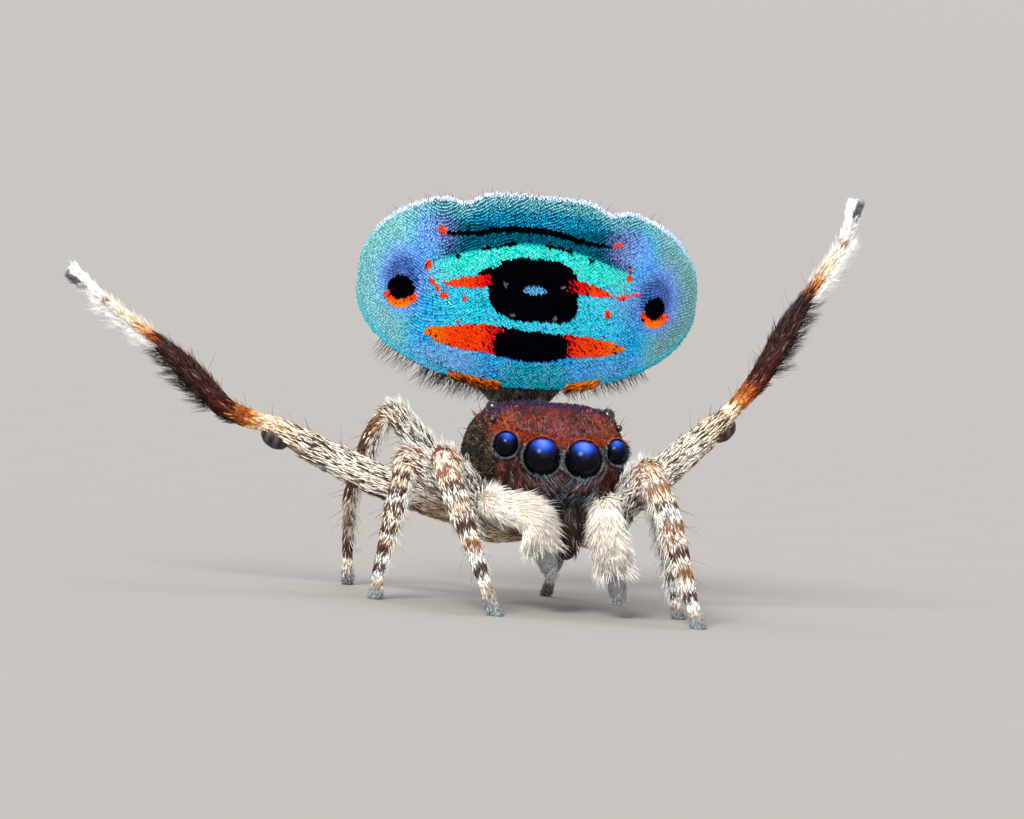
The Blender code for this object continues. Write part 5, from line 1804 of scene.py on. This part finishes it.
def fan_back():
    """The back of the fan: pale lilac-grey scales, darker where it joins the abdomen."""
    x, z = fan_rows(0.036, 0.034, 0.04)
    number = len(x)
    flat = np.stack([x, z], -1)
    near = smooth(1.0, 0.4, np.abs(x - 0.06))
    tint = mixed(rgb(150, 146, 160), rgb(96, 84, 76), near)
    tint = mixed(tint, rgb(196, 200, 206), 0.5 + 0.5 * ripple(flat, 0.35, 95))
    tint = tint * varied(number, 0.6, 1.15)[:, None]
    out, up = fan_normal(x, z, -1)
    lie = up + (0.9 * x / FAN_HALF_WIDTH)[:, None] * np.array((1.0, 0, 0))
    root = fan_face(x, z, -1)
    hairs = Hairs()
    hairs.add(
        root, out, veered(lie, out, 20), 0.080 * varied(number, 0.8, 1.2), 0.019, 0.006,
        varied(number, 0.15, 0.4), 0.2, tint * 0.6, tint, fan_place(x, z, -1), HAIR, share=0.1,
        clump=clumps_of(root, number // 8), pull=0.3,
    )
    hairs.piece("scales_fan_back", SCALES, "fan_scales")


def abdomen():
    """The abdomen behind the fan: an ovoid with streaky hair that lies up it."""
    shape = oval_shape(*ABDOMEN, 0.03)
    rings = shape(*skin_grid(60, 80, 0.02))
    tint = mixed(rgb(64, 54, 46), rgb(120, 100, 78), smooth(-0.4, 0.6, ripple(rings, 0.3, 101)))
    skin_piece("skin_abdomen", rings, tint, CUTICLE, ["abdomen"])
    hairs = Hairs()
    count = 9000
    root, out, place = oval_roots(shape, ABDOMEN[0], count)
    streak = ripple(root, 0.25, 103) + 0.6 * ripple(root, 0.08, 104)
    middle = smooth(0.30, 0.12, np.abs(root[:, 0] - ABDOMEN[0][0]))
    tint = mixed(rgb(196, 184, 160), rgb(70, 58, 48), smooth(-0.3, 0.5, streak + 0.5 * middle))
    tint = tint * varied(count, 0.7, 1.2)[:, None]
    rise = varied(count, 0.12, 0.4)
    hairs.add(
        root - 0.01 * out, out, veered(np.tile(np.array((0.0, 0.02, 1.0)), (count, 1)), out, 18),
        0.13 * varied(count, 0.7, 1.25), 0.015, 0.009, rise, 0.7 * rise, tint * 0.7, tint, place, HAIR,
    )
    hairs.piece("coat_abdomen", COAT, "dark_hair")


def stalk_and_teats():
    """The stalk between head and abdomen, and four small cones on a stump at the abdomen's top."""
    stalk = palp_course(PEDICEL_PATH, PEDICEL_RADII, (0, 0.5, 1), 40)
    rings, joints, _ = stalk.grid(28, 0.01)
    tint = mixed(rgb(40, 26, 24), UMBER, joints)
    skin_piece("skin_pedicel", rings, tint, CUTICLE, ["pedicel"])
    hairs = Hairs()
    count = 700
    share, turn = spread_over(stalk, count)
    root, out, along, _ = stalk.surface(share, turn, 0.02)
    hairs.add(
        root, out, veered(along, out, 25), varied(count, 0.09, 0.18), 0.010, 0.007,
        varied(count, 0.3, 0.6), 0.3, BLACK,
        np.where((varied(count, 0, 1) < 0.2)[:, None], PALE_GREY, rgb(34, 30, 48)),
        limb_place(share, turn), THIN,
    )
    hairs.piece("coat_pedicel", COAT, "dark_hair")

    x, back, lift = ABDOMEN[0]
    top = lift + ABDOMEN[1][2]
    base = palp_course(((x, back + 0.06, top - 0.16), (x, back + 0.09, top + 0.03)), (0.16, 0.13), (0, 1), 20)
    rings, _, _ = base.grid(24, 0.008)
    points, faces = closed_surface(rings)
    hairs = Hairs()
    for across, behind, size in TEATS:
        foot = np.array((x + across, back + behind, top - 0.02))
        tip = foot + size * unit((across, 0.10, 1))
        teat = palp_course((foot, tip), TEAT_RADII, (0, 1), 16)
        more, more_faces = closed_surface(teat.grid(16, 0.004)[0])
        faces = [np.concatenate([old, new + len(points)]) for old, new in zip(faces, more_faces)]
        points = np.concatenate([points, more])
        count = 120
        share, turn = spread_over(teat, count)
        root, out, along, _ = teat.surface(share, turn, 0.008)
        hairs.add(
            root, out, veered(along, out, 20), varied(count, 0.04, 0.08), 0.008, 0.005,
            varied(count, 0.2, 0.5), 0.2, UMBER, TAN, limb_place(share, turn), THIN,
        )
    tint = mixed(rgb(70, 56, 46), rgb(134, 110, 84), smooth(top - 0.2, top + 0.15, points[:, 2]))
    make_piece("skin_spinnerets", points, faces, CUTICLE, ["spinnerets"], tint=tint)
    count = 420
    share, turn = spread_over(base, count)
    root, out, along, _ = base.surface(share, turn, 0.016)
    hairs.add(
        root, out, veered(along, out, 20), varied(count, 0.07, 0.13), 0.011, 0.007,
        varied(count, 0.2, 0.5), 0.3, UMBER, TAN, limb_place(share, turn), THIN,
    )
    hairs.piece("coat_spinnerets", COAT, "dark_hair")


# Floor, light and camera

CAMERA_AZIMUTH = math.radians(-10)
CAMERA_RISE = math.radians(7)
CAMERA_ROLL = math.radians(5.3)
CAMERA_DISTANCE = 60.0
PIXEL = 0.011
HEAD_PIXEL = (562.0, 458.0)
PICTURE = (1024, 819)
SKY_LOW = (0.60, 0.565, 0.535)
SKY_HIGH = (0.80, 0.82, 0.86)
# In metres, and the corners of the floor's round edge.
FLOOR_RADIUS = 20.0
FLOOR_CORNERS = 96


def camera_axes():
    """Right, up and back of the camera in the world, from its turns in the head's frame."""
    a, e, r = CAMERA_AZIMUTH, CAMERA_RISE, CAMERA_ROLL
    back = np.array((math.sin(a) * math.cos(e), -math.cos(a) * math.cos(e), math.sin(e)))
    level = np.array((math.cos(a), math.sin(a), 0))
    rise = np.array((-math.sin(a) * math.sin(e), math.cos(a) * math.sin(e), math.cos(e)))
    right = level * math.cos(r) + rise * math.sin(r)
    up = rise * math.cos(r) - level * math.sin(r)
    return leaned(right), leaned(up), leaned(back)


def set_camera():
    """A far camera with a long lens, shifted so that the head falls on its pixel of the photo."""
    right, up, back = camera_axes()
    lens = bpy.data.cameras.new("camera")
    lens.sensor_width = 36.0
    lens.lens = 36.0 * CAMERA_DISTANCE / (PIXEL * PICTURE[0])
    lens.clip_start = 0.001
    lens.clip_end = 100.0
    lens.shift_x = (PICTURE[0] / 2 - HEAD_PIXEL[0]) / PICTURE[0]
    lens.shift_y = (HEAD_PIXEL[1] - PICTURE[1] / 2) / PICTURE[0]
    camera = bpy.data.objects.new("camera", lens)
    turned = Matrix(np.stack([right, up, back], 1).tolist()).to_4x4()
    camera.matrix_world = Matrix.Translation(Vector(HEAD_AT + back * CAMERA_DISTANCE * MM)) @ turned
    bpy.context.scene.collection.objects.link(camera)
    bpy.context.scene.camera = camera


def add_light(name, place, spread, strength, colour=(1, 1, 1)):
    """A distant soft light from a place, as wide as `spread` degrees."""
    light = bpy.data.lights.new(name, "SUN")
    light.angle = math.radians(spread)
    light.energy = strength
    light.color = colour
    lamp = bpy.data.objects.new(name, light)
    lamp.location = Vector(place) * MM
    lamp.rotation_euler = lamp.location.to_track_quat("Z", "Y").to_euler()
    bpy.context.scene.collection.objects.link(lamp)


def set_world():
    """A pale sky that is as bright as the floor where the two meet, and brighter overhead."""
    world = bpy.data.worlds.new("studio")
    world.use_nodes = True
    tree = world.node_tree
    place = tree.nodes.new("ShaderNodeTexCoord")
    parts = tree.nodes.new("ShaderNodeSeparateXYZ")
    ramp = tree.nodes.new("ShaderNodeValToRGB")
    ramp.color_ramp.elements[0].position = 0.0
    ramp.color_ramp.elements[0].color = (*SKY_LOW, 1)
    ramp.color_ramp.elements[1].position = 0.9
    ramp.color_ramp.elements[1].color = (*SKY_HIGH, 1)
    tree.links.new(place.outputs["Generated"], parts.inputs["Vector"])
    tree.links.new(parts.outputs["Z"], ramp.inputs["Fac"])
    tree.links.new(ramp.outputs["Color"], tree.nodes["Background"].inputs["Color"])
    bpy.context.scene.world = world


def set_studio():
    """A key light, a low fill, a light from above and behind, and a round pale floor."""
    scene = bpy.context.scene
    scene.view_settings.view_transform = "Standard"
    set_world()
    add_light("key", (-40, -75, 62), 24, 4.9, (1.0, 0.98, 0.95))
    add_light("fill", (15, -90, 5), 60, 1.1, (0.97, 0.98, 1.0))
    add_light("top", (5, 35, 75), 30, 1.1)
    floor_finish = Finish("pale_floor", base_color=(0.2868, 0.2706, 0.2563, 1))
    floor_finish.speckled_roughness(900, 0.75, 0.9)
    floor_finish.shader.inputs["Specular IOR Level"].default_value = 0.1
    turn = np.linspace(0, 2 * math.pi, FLOOR_CORNERS, endpoint=False)
    ring = rows_of(FLOOR_RADIUS * np.cos(turn), FLOOR_RADIUS * np.sin(turn), 0.0)
    mesh = bpy.data.meshes.new("floor")
    mesh.from_pydata(ring.tolist(), [], [tuple(range(FLOOR_CORNERS))])
    floor = bpy.data.objects.new("floor", mesh)
    mesh.materials.append(floor_finish.material)
    scene.collection.objects.link(floor)


def main():
    set_camera()
    set_studio()
    carapace_skin()
    carapace_coat()
    eyes()
    lower_head()
    for word in PALP_POSE:
        palp(word)
    for leg in LEG_POSE:
        course = leg_course(leg)
        leg_skin(leg, course)
        leg_coat(leg, course)
        if is_raised(leg):
            knee_bulb(leg)
    fan_skin()
    fan_front()
    fan_hairs()
    fan_back()
    abdomen()
    stalk_and_teats()


main()
